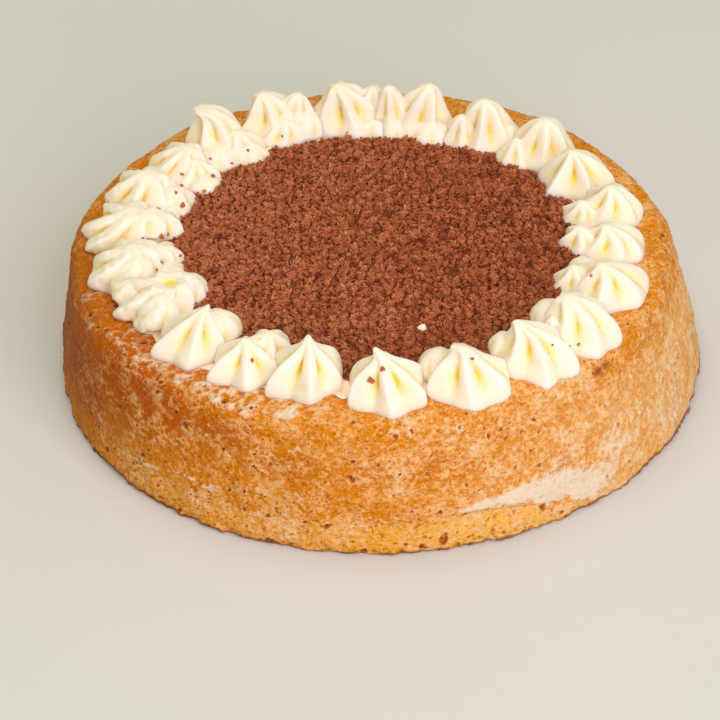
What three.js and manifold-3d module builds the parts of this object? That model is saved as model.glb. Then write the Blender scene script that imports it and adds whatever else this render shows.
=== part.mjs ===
// Tres leches cake: a round, milk-soaked sponge with a thin coat of cream on top,
// a ring of piped cream stars round the edge and a bed of grated chocolate inside the ring.
// Millimetres, +Z up. The origin is on the underside, at the middle of the sponge's foot.

import * as THREE from "three";
import { mergeVertices } from "three/addons/utils/BufferGeometryUtils.js";
import Module from "manifold-3d";

const wasm = await Module();
wasm.setup();

// Driving dimensions of the sponge
const FOOT_RADIUS = 113; // widest ring, just above the underside, as from a 9 inch tin
const SPONGE_HEIGHT = 48;
const FOOT_TUCK = 0.6; // how far the underside's edge is rounded in
const TAPER = 0.115; // radius lost for each millimetre of height
const BELLY = 0.0016; // and for each millimetre squared, so the wall leans in towards the top
const SHOULDER_RADIUS = 7;
const TOP_SHIFT = -3.8; // the top sits this far along X from the foot, as the cake leans
const CREASE_DEPTH = 0.9; // the skin's torn lower edge round the front
const CREASE_BEARING = -75;
const CREASE_SPREAD = 55;
const WALL_WAVES = [
  { count: 3, depth: 0.3, phase: 1, climb: 0 },
  { count: 5, depth: 0.3, phase: 0, climb: 0.07 },
  { count: 9, depth: 0.3, phase: 0, climb: -0.13 },
]; // long waves in the wall: how many go round, and how much their phase changes with height
const WAVES_FULL = 20; // the waves fade out below this height, as the foot is round
const CRAG = 0.25; // unevenness from one spot of crust to the next
const WALL_ROWS = [1.2, 6, 10.5, 13, 20, 27, 34, 41]; // heights; the crease is on the third
const CREASE_ROW = WALL_ROWS[2];
const SPONGE_SIDES = 72;

// Driving dimensions of the cream coat
const COAT_CENTRE = [-3, -2];
const COAT_RADIUS = 92;
const COAT_THICKNESS = 1.5;
const COAT_BEVEL = 1.6;
const COAT_WAVES = [
  { count: 2, depth: 1.2, phase: 0.6, climb: 0 },
  { count: 5, depth: 0.7, phase: 2, climb: 0 },
  { count: 11, depth: 0.4, phase: 0, climb: 0 },
]; // its edge is uneven because it was spread with a knife
const COAT_SIDES = 48;

// Driving dimensions of the piped stars
const RING_CENTRE = [-2.5, -3];
const LOBES = 6; // ridges that the nozzle leaves on each star
const LOBE_STEPS = 4;
const LOBE_ROUNDNESS = 0.6; // 1 is a sine wave, less is a fatter ridge with a sharper groove
const STAR_FOOT = { rise: 0, girth: 0.86, groove: 0.18, drop: 5 }; // the foot slumps over the coat's edge
const STAR_LEVELS = [
  { rise: 0.16, girth: 1.0, groove: 0.24 },
  { rise: 0.34, girth: 0.93, groove: 0.32 },
  { rise: 0.52, girth: 0.72, groove: 0.4 },
  { rise: 0.7, girth: 0.47, groove: 0.44 },
  { rise: 0.87, girth: 0.23, groove: 0.36 },
];
const FORK_SIDES = 8;
const FORK = { from: 0.42, girth: 0.4, rise: 0.96, reach: 0.45 }; // a second peak, where the cream tore
const FLECK = [1.3, 0.9, 0.6]; // half length, half width and half thickness of a chocolate fleck
const GAP = 0.3; // room between pieces that press against each other
const SLIVER = 0.02; // edges shorter than this, left by a cut, are closed up

// One row for each star, anticlockwise from the front: its bearing and distance from the ring's
// centre, the radius of its foot, its height, how far its tip leans along X and Y, the bearing of
// one ridge, how far the ridges twist on the way up, whether it has two peaks, and the bearings
// of the flecks of chocolate that lie on it.
const STARS = [
  { at: -87, ring: 85, foot: 13, tall: 17, lean: [-2.5, 0], ridge: -85, twist: -12, flecks: [-112, -104] },
  { at: -69, ring: 87, foot: 14.5, tall: 15, lean: [-5, 0], ridge: -88, twist: 10, flecks: [-62] },
  { at: -52, ring: 89, foot: 13, tall: 15, lean: [-6, 1], ridge: -80, twist: 15, flecks: [-30] },
  { at: -38, ring: 89, foot: 13.5, tall: 14, lean: [-4, 1], ridge: -70, twist: 12, flecks: [-95] },
  { at: -20, ring: 85, foot: 14, tall: 12, lean: [-3, -3], ridge: -45, twist: 20, flecks: [-140] },
  { at: -3, ring: 83, foot: 13, tall: 11, lean: [-3, -3], ridge: -30, twist: 25 },
  { at: 12, ring: 86, foot: 12, tall: 12, lean: [-1, -2], ridge: -60, twist: 18 },
  { at: 27, ring: 82, foot: 13.5, tall: 14, lean: [-2, -1], ridge: -75, twist: 10 },
  { at: 42, ring: 83, foot: 12, tall: 15, lean: [1, 0], ridge: -95, twist: 8 },
  { at: 58, ring: 78, foot: 11.5, tall: 17, lean: [0, 0], ridge: -110, twist: 12 },
  { at: 77, ring: 78, foot: 11.5, tall: 18, lean: [4, 0], ridge: -65, twist: 15, fork: true },
  { at: 95, ring: 81, foot: 13, tall: 16, lean: [-4, 0], ridge: -80, twist: -10 },
  { at: 113, ring: 86, foot: 12, tall: 14, lean: [-5, 0], ridge: -100, twist: 20, fork: true },
  { at: 129, ring: 86, foot: 11.5, tall: 18, lean: [-6, 0], ridge: -60, twist: -18, flecks: [-50, -100] },
  { at: 144, ring: 86, foot: 12, tall: 10, lean: [4, 0], ridge: -90, twist: 30, flecks: [-40] },
  { at: 159, ring: 87, foot: 14, tall: 12, lean: [2, 0], ridge: -70, twist: 35, flecks: [-35, 10] },
  { at: 172, ring: 87, foot: 15.5, tall: 9, lean: [2, 0], ridge: -80, twist: 45, flecks: [-35, -5, 20] },
  { at: -171, ring: 85, foot: 15.5, tall: 11, lean: [2, 0], ridge: -100, twist: 50, flecks: [-30, 15] },
  { at: -155, ring: 81, foot: 14, tall: 12, lean: [7, 1], ridge: -110, twist: 50, flecks: [60] },
  { at: -137, ring: 82, foot: 13, tall: 16, lean: [5, 0], ridge: -108, twist: 20 },
  { at: -121, ring: 81, foot: 12.5, tall: 11, lean: [0, 0], ridge: -92, twist: 5, flecks: [-75] },
  { at: -106, ring: 80, foot: 13, tall: 17, lean: [1, 0], ridge: -84, twist: 8 },
];

// Driving dimensions of the grated chocolate
const HEAP_CENTRE = [-1.5, -7];
const HEAP_RADIUS = 73;
const HEAP_RINGS = 16; // rings of bumps from the middle to the edge
const HEAP_THICKNESS = 1.8;
const HEAP_EDGE = 0.9; // thickness at the ragged edge
const HEAP_BUMP = 1.2; // height of the flakes above the bed
const HEAP_RAG = 2; // how far the edge wanders in and out

const COAT_TOP = SPONGE_HEIGHT + COAT_THICKNESS;
const radians = THREE.MathUtils.degToRad;

const sponge = new THREE.MeshStandardMaterial({ color: 0xe0963f, roughness: 0.6, metalness: 0 });
const cream = new THREE.MeshStandardMaterial({ color: 0xfbf1d4, roughness: 0.5, metalness: 0 });
const chocolate = new THREE.MeshStandardMaterial({ color: 0x8f5034, roughness: 0.8, metalness: 0 });

// A repeatable draw from 0 to 1 for a pair of whole numbers.
function draw(i, j) {
  const spread = Math.sin(i * 12.9898 + j * 78.233) * 43758.5453;
  return spread - Math.floor(spread);
}

// How far an uneven round outline stands out at a bearing in radians and a height.
function swell(waves, bearing, z) {
  return waves.reduce((sum, w) => sum + w.depth * Math.sin(w.count * bearing + w.phase + w.climb * z), 0);
}

// A closed geometry through rings of equal length, lowest first, with a point at each end.
function loft(rings, bottom, top) {
  const sides = rings[0].length;
  const points = [...rings.flat(), bottom, top];
  const low = points.length - 2;
  const high = points.length - 1;
  const last = (rings.length - 1) * sides;
  const index = [];
  for (let k = 0; k < sides; k++) {
    const next = (k + 1) % sides;
    index.push(low, next, k, high, last + k, last + next);
    for (let row = 0; row < last; row += sides) {
      index.push(row + k, row + next, row + sides + next);
      index.push(row + k, row + sides + next, row + sides + k);
    }
  }
  return new THREE.BufferGeometry().setFromPoints(points).setIndex(index);
}

// A point at a bearing in radians and a distance from a centre.
function polar(centre, bearing, distance, z) {
  const x = centre[0] + distance * Math.cos(bearing);
  const y = centre[1] + distance * Math.sin(bearing);
  return new THREE.Vector3(x, y, z);
}

function solidOf(geometry) {
  return new wasm.Manifold(
    new wasm.Mesh({
      numProp: 3,
      vertProperties: new Float32Array(geometry.getAttribute("position").array),
      triVerts: new Uint32Array(geometry.index.array),
    }),
  );
}

// The geometry of a solid's largest body, so that a scrap left by a cut is dropped.
function geometryOf(solid) {
  const bodies = solid.simplify(SLIVER).decompose();
  const largest = bodies.reduce((a, b) => (a.volume() > b.volume() ? a : b));
  const mesh = largest.getMesh();
  return new THREE.BufferGeometry()
    .setAttribute("position", new THREE.BufferAttribute(mesh.vertProperties, 3))
    .setIndex(new THREE.BufferAttribute(mesh.triVerts, 1));
}

// The sponge: a tapered wall with a torn crease low on the front, a rounded shoulder and a
// flat top. Grown by a gap it cuts the pieces that rest on it.
function spongeGeometry(grow = 0) {
  const shoulderRow = WALL_ROWS.at(-1);
  const wallRadius = (z) => FOOT_RADIUS - TAPER * z - BELLY * z * z;
  const profile = WALL_ROWS.map((z) => [z, z === WALL_ROWS[0] ? FOOT_RADIUS : wallRadius(z)]);
  for (const turn of [30, 60, 90].map(radians)) {
    const inset = SHOULDER_RADIUS * (1 - Math.cos(turn));
    const rise = (SPONGE_HEIGHT - shoulderRow) * Math.sin(turn);
    profile.push([shoulderRow + rise, wallRadius(shoulderRow) - inset]);
  }
  profile.unshift([0, FOOT_RADIUS - FOOT_TUCK]);
  const rings = profile.map(([z, radius], row) =>
    Array.from({ length: SPONGE_SIDES }, (_, k) => {
      const bearing = (2 * Math.PI * k) / SPONGE_SIDES;
      const turned = THREE.MathUtils.radToDeg(bearing) - CREASE_BEARING;
      const off = THREE.MathUtils.euclideanModulo(turned + 180, 360) - 180;
      const crease = z === CREASE_ROW ? CREASE_DEPTH * Math.exp(-((off / CREASE_SPREAD) ** 2)) : 0;
      const rough = row > 1 ? CRAG * (2 * draw(k, row) - 1) : 0;
      const uneven = swell(WALL_WAVES, bearing, z) * Math.min(z / WAVES_FULL, 1) + rough - crease;
      const centre = [(TOP_SHIFT * z) / SPONGE_HEIGHT, 0];
      return polar(centre, bearing, radius + uneven + grow, z + (grow * z) / SPONGE_HEIGHT);
    }),
  );
  const top = new THREE.Vector3(TOP_SHIFT, 0, SPONGE_HEIGHT + grow);
  return loft(rings, new THREE.Vector3(0, 0, 0), top);
}

// One ring of the coat's outline.
function coatRing(inset, z) {
  return Array.from({ length: COAT_SIDES }, (_, k) => {
    const bearing = (2 * Math.PI * k) / COAT_SIDES;
    return polar(COAT_CENTRE, bearing, COAT_RADIUS + swell(COAT_WAVES, bearing, z) - inset, z);
  });
}

function coatGeometry() {
  const middle = coatRing(COAT_BEVEL / 3, COAT_TOP - COAT_THICKNESS / 2);
  const rings = [coatRing(0, SPONGE_HEIGHT), middle, coatRing(COAT_BEVEL, COAT_TOP)];
  const bottom = new THREE.Vector3(...COAT_CENTRE, SPONGE_HEIGHT);
  return loft(rings, bottom, new THREE.Vector3(...COAT_CENTRE, COAT_TOP));
}

// What a star's foot is pressed onto: the coat out to its edge, and the sponge beyond it.
function bedSolid() {
  const inside = SPONGE_HEIGHT / 2;
  const coat = loft(
    [coatRing(-GAP, inside), coatRing(-GAP, COAT_TOP)],
    new THREE.Vector3(...COAT_CENTRE, inside),
    new THREE.Vector3(...COAT_CENTRE, COAT_TOP),
  );
  return solidOf(coat).add(solidOf(spongeGeometry(GAP)));
}

function starCentre(star) {
  return polar(RING_CENTRE, radians(star.at), star.ring, COAT_TOP);
}

// The tip's drift from the star's centre at a share of its height: it curls more towards the top.
function drift(star, rise) {
  return [star.lean[0] * rise * rise, star.lean[1] * rise * rise];
}

// One ring of a star's lobes: fat ridges with sharp grooves between them.
function starRing(star, level, z, grow) {
  const centre = starCentre(star);
  const [x, y] = drift(star, level.rise);
  const ridge = radians(star.ridge + star.twist * level.rise);
  const sides = LOBES * LOBE_STEPS;
  return Array.from({ length: sides }, (_, k) => {
    const share = (k % LOBE_STEPS) / LOBE_STEPS; // 0 in a groove, a half on a ridge
    const bulge = Math.sin(Math.PI * share) ** LOBE_ROUNDNESS;
    const bearing = ridge + (2 * Math.PI * (k - LOBE_STEPS / 2)) / sides;
    const radius = star.foot * level.girth * (1 - level.groove * (1 - bulge)) + grow;
    return polar([centre.x + x, centre.y + y], bearing, radius, z);
  });
}

function starGeometry(star, grow = 0) {
  const centre = starCentre(star);
  const foot = COAT_TOP - STAR_FOOT.drop;
  const height = (level) => COAT_TOP + level.rise * star.tall;
  const rings = STAR_LEVELS.map((level) => starRing(star, level, height(level), grow));
  rings.unshift(starRing(star, STAR_FOOT, foot, grow));
  const [x, y] = drift(star, 1);
  const tip = new THREE.Vector3(centre.x + x, centre.y + y, COAT_TOP + star.tall + grow);
  return loft(rings, new THREE.Vector3(centre.x, centre.y, foot), tip);
}

// The second peak of a star whose cream tore as the nozzle lifted, on the other side of its tip.
function forkGeometry(star) {
  const centre = starCentre(star);
  const from = COAT_TOP + FORK.from * star.tall;
  const radius = FORK.girth * star.foot;
  const side = -Math.sign(star.lean[0]) * FORK.reach * star.foot;
  const ring = Array.from({ length: FORK_SIDES }, (_, k) =>
    polar([centre.x + side / 2, centre.y], (2 * Math.PI * k) / FORK_SIDES, radius, from),
  );
  const tip = new THREE.Vector3(centre.x + side, centre.y, COAT_TOP + FORK.rise * star.tall);
  return loft([ring], new THREE.Vector3(centre.x + side / 2, centre.y, from), tip);
}

// A fleck of chocolate half sunk in the star's side, on the ring point nearest to its bearing.
function fleckGeometry(star, bearing, number) {
  const level = STAR_LEVELS[1 + (number % 2)];
  const centre = starCentre(star);
  const [x, y] = drift(star, level.rise);
  const ring = starRing(star, level, COAT_TOP + level.rise * star.tall, 0);
  const towards = new THREE.Vector2(Math.cos(radians(bearing)), Math.sin(radians(bearing)));
  const facing = (p) => towards.dot(new THREE.Vector2(p.x - centre.x - x, p.y - centre.y - y).normalize());
  const place = ring.reduce((a, b) => (facing(a) > facing(b) ? a : b));
  const flake = new THREE.OctahedronGeometry(1).deleteAttribute("normal").deleteAttribute("uv");
  return mergeVertices(flake)
    .scale(...FLECK)
    .rotateZ(Math.PI * draw(number, star.ring))
    .translate(place.x, place.y, place.z);
}

// Each star is cut by the bed under it and by the neighbours piped before it, and its flecks
// stay clear of both neighbours.
function starMeshes() {
  const bed = bedSolid();
  const grown = STARS.map((star) => solidOf(starGeometry(star, GAP)));
  return STARS.map((star, i) => {
    const before = grown.at(i - 1);
    const after = grown[(i + 1) % STARS.length];
    let solid = solidOf(starGeometry(star)).subtract(bed);
    if (star.fork) solid = solid.add(solidOf(forkGeometry(star)));
    if (i > 0) solid = solid.subtract(before);
    if (i === STARS.length - 1) solid = solid.subtract(after);
    (star.flecks ?? []).forEach((bearing, number) => {
      const fleck = solidOf(fleckGeometry(star, bearing, number));
      solid = solid.add(fleck.subtract(before).subtract(after));
    });
    return named("cream_star_" + String(i + 1).padStart(2, "0"), geometryOf(solid), cream);
  });
}

// The bed of grated chocolate: bumps on rings of six, twelve, eighteen points and so on,
// with a ragged edge that runs in between the stars.
function heapGeometry() {
  const points = [new THREE.Vector3(...HEAP_CENTRE, COAT_TOP + HEAP_THICKNESS)];
  const start = [0];
  for (let ring = 1; ring <= HEAP_RINGS; ring++) {
    start.push(points.length);
    for (let k = 0; k < 6 * ring; k++) {
      const edge = ring === HEAP_RINGS;
      const radius = (HEAP_RADIUS * ring) / HEAP_RINGS + (edge ? HEAP_RAG * (2 * draw(k, 3) - 1) : 0);
      const z = edge ? HEAP_EDGE : HEAP_THICKNESS + HEAP_BUMP * draw(k, ring);
      points.push(polar(HEAP_CENTRE, (2 * Math.PI * k) / (6 * ring), radius, COAT_TOP + z));
    }
  }
  const index = [];
  for (let ring = 1; ring <= HEAP_RINGS; ring++) {
    const inner = (k) => start[ring - 1] + (k % Math.max(6 * (ring - 1), 1));
    const outer = (k) => start[ring] + (k % (6 * ring));
    for (let sector = 0; sector < 6; sector++) {
      for (let k = 0; k < ring; k++) {
        const out = sector * ring + k;
        const into = sector * (ring - 1) + k;
        index.push(inner(into), outer(out), outer(out + 1));
        if (k < ring - 1) index.push(inner(into), outer(out + 1), inner(into + 1));
      }
    }
  }
  const rim = start[HEAP_RINGS];
  const sides = 6 * HEAP_RINGS;
  const under = points.length;
  for (let k = 0; k < sides; k++) points.push(points[rim + k].clone().setZ(COAT_TOP));
  points.push(new THREE.Vector3(...HEAP_CENTRE, COAT_TOP));
  for (let k = 0; k < sides; k++) {
    const next = (k + 1) % sides;
    index.push(under + k, under + next, rim + next, under + k, rim + next, rim + k);
    index.push(under + sides, under + next, under + k);
  }
  return new THREE.BufferGeometry().setFromPoints(points).setIndex(index);
}

// The heap, cut round the feet of the stars.
function heapMesh() {
  const stars = STARS.map((star) => solidOf(starGeometry(star, GAP)));
  const solid = stars.reduce((heap, star) => heap.subtract(star), solidOf(heapGeometry()));
  return named("grated_chocolate", geometryOf(solid), chocolate);
}

function named(name, geometry, material) {
  const mesh = new THREE.Mesh(geometry, material);
  mesh.name = name;
  mesh.geometry.computeVertexNormals();
  return mesh;
}

const cake = new THREE.Group();
cake.add(named("sponge", spongeGeometry(), sponge));
cake.add(named("cream_layer", coatGeometry(), cream));
cake.add(heapMesh());
cake.add(...starMeshes());

export default cake;
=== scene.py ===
import math
from typing import NamedTuple

import bpy
import numpy as np
from mathutils import Matrix, Vector, kdtree
from mathutils.bvhtree import BVHTree


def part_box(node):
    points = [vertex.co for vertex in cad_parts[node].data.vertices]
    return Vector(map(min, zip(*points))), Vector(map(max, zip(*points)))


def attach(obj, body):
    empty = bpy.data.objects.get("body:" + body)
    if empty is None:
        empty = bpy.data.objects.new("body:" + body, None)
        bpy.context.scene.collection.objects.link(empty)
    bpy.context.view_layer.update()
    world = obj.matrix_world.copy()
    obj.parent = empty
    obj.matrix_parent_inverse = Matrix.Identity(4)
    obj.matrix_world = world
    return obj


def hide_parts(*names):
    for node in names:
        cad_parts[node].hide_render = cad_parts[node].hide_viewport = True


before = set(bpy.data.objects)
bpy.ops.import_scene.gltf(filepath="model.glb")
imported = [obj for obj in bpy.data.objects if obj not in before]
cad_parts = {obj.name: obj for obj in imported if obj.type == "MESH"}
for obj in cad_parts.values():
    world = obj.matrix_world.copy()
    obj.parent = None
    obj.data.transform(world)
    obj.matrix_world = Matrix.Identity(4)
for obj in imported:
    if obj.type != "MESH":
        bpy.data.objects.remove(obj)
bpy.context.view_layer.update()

bl_info = {
    "name": "Tres leches cake",
    "version": (1, 0, 0),
    "blender": (4, 5, 0),
    "location": "View3D > Sidebar > Cake",
    "description": "Dresses the cake: soaked sponge, cream coat, piped stars and grated chocolate",
    "category": "Object",
}

MM = 0.001

SPONGE_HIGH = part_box("sponge")[1]
FOOT_RADIUS = SPONGE_HIGH.x
SPONGE_TOP = SPONGE_HIGH.z
COAT_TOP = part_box("cream_layer")[1].z

# The cake leans: its top sits a little to the left of its foot.
TOP_SHIFT = -3.8 * MM
TAPER = 0.115
BELLY = 1.6
SHOULDER_RADIUS = 7 * MM
SHOULDER_START = SPONGE_TOP - SHOULDER_RADIUS

# The coat of cream, the ring of stars and the bed of chocolate inside it.
COAT_CENTRE = Vector((-3 * MM, -2 * MM))
RING_CENTRE = Vector((-2.5 * MM, -3 * MM))
HEAP_CENTRE = Vector((-1.5 * MM, -7 * MM))
HEAP_RADIUS = 73 * MM
STRAY_RADIUS = HEAP_RADIUS + 4.5 * MM
BARE_SPOT = Vector((13.6 * MM, -56 * MM))
BARE_SPOT_RADIUS = 1.9 * MM

# The stars: ridges of each, sides of the cage for each ridge, how much they glow, grain of melted folds,
# and the level, half height and half width of the slits between ridges, as shares.
LOBES = 6
LOBE_STEPS = 12
STAR_GLOW = 0.85
MELT_GRAIN = 0.36 * MM
SLIT_LEVEL, SLIT_SPREAD, SLIT_WIDTH = 0.43, 0.16, 0.17

# Starting numbers of the random draws.
PORE_SEED, STAR_SEED, FLAKE_SEED, FLECK_SEED = 11, 5, 23, 31

# Levels of a star as shares of its height, from foot to tip.
LEVELS = (0.00, 0.05, 0.14, 0.26, 0.39, 0.52, 0.65, 0.77, 0.87, 0.95, 1.00)


class Profile(NamedTuple):
    """A star's form at each level: its girth, the depth of its grooves and how sharp its ridges are."""

    girth: tuple
    groove: tuple
    sharp: tuple


SHARP_RIDGES = (1.05, 1.10, 1.15, 1.10, 1.00, 0.90, 0.90, 0.95, 1.00, 1.00, 1.00)
FULL_RIDGES = (0.80,) * 11
PLUMP_RIDGES = (0.62,) * 11
PEAKED = Profile(
    (0.92, 1.00, 1.00, 0.94, 0.83, 0.67, 0.48, 0.30, 0.17, 0.08, 0.025),
    (0.11, 0.13, 0.18, 0.29, 0.41, 0.48, 0.47, 0.42, 0.32, 0.15, 0.05), SHARP_RIDGES)
PINCHED = Profile(
    (0.92, 1.00, 1.02, 1.00, 0.93, 0.76, 0.49, 0.26, 0.15, 0.09, 0.05),
    (0.11, 0.14, 0.21, 0.33, 0.43, 0.43, 0.35, 0.25, 0.16, 0.09, 0.04), SHARP_RIDGES)
BLUNT = Profile(
    (0.92, 1.00, 1.00, 0.96, 0.88, 0.75, 0.60, 0.44, 0.29, 0.16, 0.05),
    (0.11, 0.13, 0.18, 0.28, 0.39, 0.45, 0.44, 0.39, 0.30, 0.16, 0.06), SHARP_RIDGES)
HOOKED = Profile(
    (0.92, 1.00, 1.00, 0.96, 0.88, 0.76, 0.62, 0.49, 0.38, 0.25, 0.08),
    (0.11, 0.13, 0.18, 0.28, 0.39, 0.45, 0.40, 0.30, 0.18, 0.08, 0.03), SHARP_RIDGES)
FLAT = Profile(
    (0.92, 1.00, 1.00, 0.97, 0.90, 0.80, 0.69, 0.57, 0.45, 0.30, 0.06),
    (0.11, 0.13, 0.18, 0.27, 0.37, 0.42, 0.42, 0.38, 0.31, 0.20, 0.06), SHARP_RIDGES)
STUB = Profile(
    (0.92, 1.00, 1.00, 0.97, 0.90, 0.76, 0.55, 0.38, 0.32, 0.30, 0.14),
    (0.11, 0.14, 0.21, 0.33, 0.44, 0.46, 0.40, 0.28, 0.18, 0.12, 0.05), SHARP_RIDGES)
ROSETTE = Profile(
    (0.86, 0.95, 1.00, 1.00, 0.95, 0.87, 0.76, 0.62, 0.46, 0.28, 0.06),
    (0.15, 0.20, 0.27, 0.36, 0.44, 0.49, 0.49, 0.45, 0.36, 0.21, 0.06), FULL_RIDGES)
PETAL = Profile(
    (0.82, 0.92, 0.98, 1.00, 0.97, 0.90, 0.79, 0.65, 0.48, 0.29, 0.06),
    (0.03, 0.04, 0.06, 0.09, 0.12, 0.14, 0.14, 0.12, 0.09, 0.05, 0.02), PLUMP_RIDGES)
FORMS = (PEAKED, PINCHED, BLUNT, HOOKED, FLAT, STUB, ROSETTE, PETAL)


class Star(NamedTuple):
    """One piped star: its bearing and distance on the ring, its size in mm and how it stands.

    It leans in mm, its first ridge has a bearing, its ridges twist, its tip curls and hooks, its top slants.
    """

    at: float
    ring: float
    foot: float
    tall: float
    lean: tuple
    ridge: float
    twist: float
    curl: tuple = (0, 0)
    hook: float = 0
    form: Profile = PEAKED
    uneven: float = 0.07
    flare: float = 0.05
    slant: tuple = (0, 0)
    lobes: tuple = ()
    folds: tuple = ()


class Fold(NamedTuple):
    """A second peak or a fold of cream on a star, in shares of that star's size."""

    out: float
    bearing: float
    lift: float
    foot: float
    tall: float
    turn: float
    lean: tuple = (0, 0)
    form: Profile = PETAL


STARS = (
    Star(-87, 85, 13, 17, (-2.5, 0), -85, -12, curl=(-1.6, 0.0), form=PINCHED,
         lobes=(1.00, 1.06, 1.0, 1.0, 1.05, 1.17)),
    Star(-69, 86.4, 14.3, 14.6, (-1.6, 0), -88, -12, curl=(-0.8, 0), form=STUB, slant=(2.2, 3.0),
         lobes=(0.92, 1.02, 1.0, 0.92, 1.0, 1.06), folds=(Fold(0.80, 152, 0.0, 0.50, 0.62, 0),)),
    Star(-52, 86.5, 12.6, 15, (-4.6, 0), -80, 15, curl=(-2, 0), form=BLUNT, flare=0.10,
         lobes=(1.06, 1.14, 1.05, 0.95, 1.0, 1.0), folds=(Fold(0.85, 160, 0.0, 0.42, 0.50, 0),)),
    Star(-38, 87.5, 12.8, 14, (-3.5, 1), -70, 12, curl=(-1, 0), form=FLAT, flare=0.08,
         folds=(Fold(0.88, 152, 0.0, 0.58, 0.62, 0), Fold(0.72, 200, 0.0, 0.50, 0.60, 15, (-1, 0), BLUNT))),
    Star(-20, 85, 14, 12, (-3, -3), -45, 24, form=BLUNT, uneven=0.15,
         folds=(Fold(0.78, 172, 0.0, 0.62, 0.72, 10, (-1, 0), BLUNT), Fold(0.85, 130, 0.0, 0.45, 0.50, 0))),
    Star(-3, 83, 13, 11, (-3, -3), -30, 30, form=BLUNT, uneven=0.17,
         folds=(Fold(0.78, 176, 0.0, 0.66, 0.75, 30, (-1, 0), ROSETTE),)),
    Star(12, 86, 12, 12, (-1, -2), -60, 24, form=BLUNT, uneven=0.16, flare=0.10,
         folds=(Fold(0.95, 200, 0.0, 0.66, 0.58, 20, (0, 0), BLUNT),)),
    Star(27, 82, 13.5, 14, (-2, -1), -75, 10, form=BLUNT, lobes=(1.05, 1.0, 1.0, 1.0, 1.0, 1.22)),
    Star(42, 83, 12, 15, (1, 0), -95, 8, form=FLAT, flare=0.14,
         folds=(Fold(0.85, -160, 0.0, 0.62, 0.62, 20, (0, 0), BLUNT),)),
    Star(58, 78, 11.5, 17, (0, 0), -110, 12, form=FLAT, flare=0.18,
         folds=(Fold(0.80, -15, 0.0, 0.60, 0.45, 20, (0, 0), BLUNT),
                Fold(0.72, 188, 0.0, 0.66, 0.66, 12, (0, 0), FLAT))),
    Star(77, 78, 11.5, 18, (4, 0), -65, 15, form=FLAT, flare=0.16,
         folds=(Fold(0.80, 180, 0.12, 0.62, 0.86, 20, (-1.5, 0), FLAT), Fold(0.85, -150, 0.0, 0.60, 0.36, 0),
                Fold(0.78, -62, 0.0, 0.70, 0.40, 0))),
    Star(95, 81, 13, 16, (-3, 0), -80, -10, curl=(-1, 0), form=FLAT, flare=0.16,
         folds=(Fold(0.66, 10, 0.0, 0.74, 0.86, 20, (0, 0), ROSETTE), Fold(0.95, -35, 0.0, 0.56, 0.36, 0))),
    Star(113, 86, 12, 14, (-5, 0), -100, 20, form=FLAT, flare=0.14,
         folds=(Fold(0.52, 0, 0.22, 0.66, 0.74, 20, (1.5, 0), FLAT),
                Fold(0.70, -75, 0.0, 0.74, 0.52, 10, (0, 0), ROSETTE),
                Fold(0.95, -20, 0.0, 0.62, 0.55, 0))),
    Star(129, 86, 11.5, 18, (-3, 0), -60, -18, curl=(-6, 0), hook=2.4, form=HOOKED, flare=0.10,
         folds=(Fold(0.85, -35, 0.0, 0.80, 0.52, 25, (-1, 0), ROSETTE), Fold(0.98, -88, 0.0, 0.70, 0.36, 5),
                Fold(1.25, -42, 0.0, 0.60, 0.34, 5))),
    Star(144, 86, 12, 10, (4, 0), -90, 30, form=ROSETTE, uneven=0.12,
         folds=(Fold(0.80, -35, 0.0, 0.78, 0.80, 15, (-1, 0), BLUNT), Fold(1.35, -48, 0.0, 0.52, 0.48, 0))),
    Star(159, 87, 14, 12, (2, 0), -70, 35, form=ROSETTE, uneven=0.14,
         folds=(Fold(0.30, 10, 0.30, 0.60, 0.62, 30, (2, 0), ROSETTE), Fold(0.80, -22, 0.0, 0.62, 0.66, 10),
                Fold(1.10, -50, 0.0, 0.42, 0.42, 0))),
    Star(172, 87, 15.5, 9, (2, 0), -80, 45, form=ROSETTE, uneven=0.16,
         folds=(Fold(0.34, -10, 0.30, 0.62, 0.70, 25, (2, 0), ROSETTE),
                Fold(0.78, 2, 0.0, 0.60, 0.80, 40, (0, 0), ROSETTE))),
    Star(-171, 85, 15.5, 11, (2, 0), -100, 50, form=ROSETTE, uneven=0.16,
         folds=(Fold(0.34, -70, 0.10, 0.62, 0.80, 30, (2, 0)),
                Fold(0.78, 25, 0.0, 0.58, 0.62, 25, (0, 0), ROSETTE),
                Fold(0.90, -12, 0.0, 0.40, 0.45, 0))),
    Star(-155, 81, 14, 12, (5, 1), -110, 50, form=ROSETTE, uneven=0.16, hook=3.2,
         folds=(Fold(0.55, -75, 0.05, 0.62, 0.78, 35), Fold(0.72, 150, 0.10, 0.50, 0.52, 0),
                Fold(0.80, 25, 0.0, 0.52, 0.80, 0))),
    Star(-137, 82, 13, 16, (4.4, 0), -99, 14, curl=(1.0, 0), flare=0.08,
         lobes=(1.02, 1.0, 1.0, 1.0, 1.0, 1.16), folds=(Fold(0.70, 35, 0.0, 0.66, 0.54, 0),)),
    Star(-121, 81, 12.5, 11, (-1, 0), -92, 5, form=BLUNT, flare=0.08,
         lobes=(1.02, 1.05, 1.0, 1.0, 1.05, 1.20),
         folds=(Fold(0.62, 42, 0.05, 0.78, 0.80, 20, (1, 0), ROSETTE),)),
    Star(-106, 80, 13, 17, (1, 0), -91, 8, curl=(-0.4, 0), form=PINCHED, flare=0.06,
         lobes=(1.02, 0.95, 0.95, 1.0, 1.0, 1.22)),
)

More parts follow.
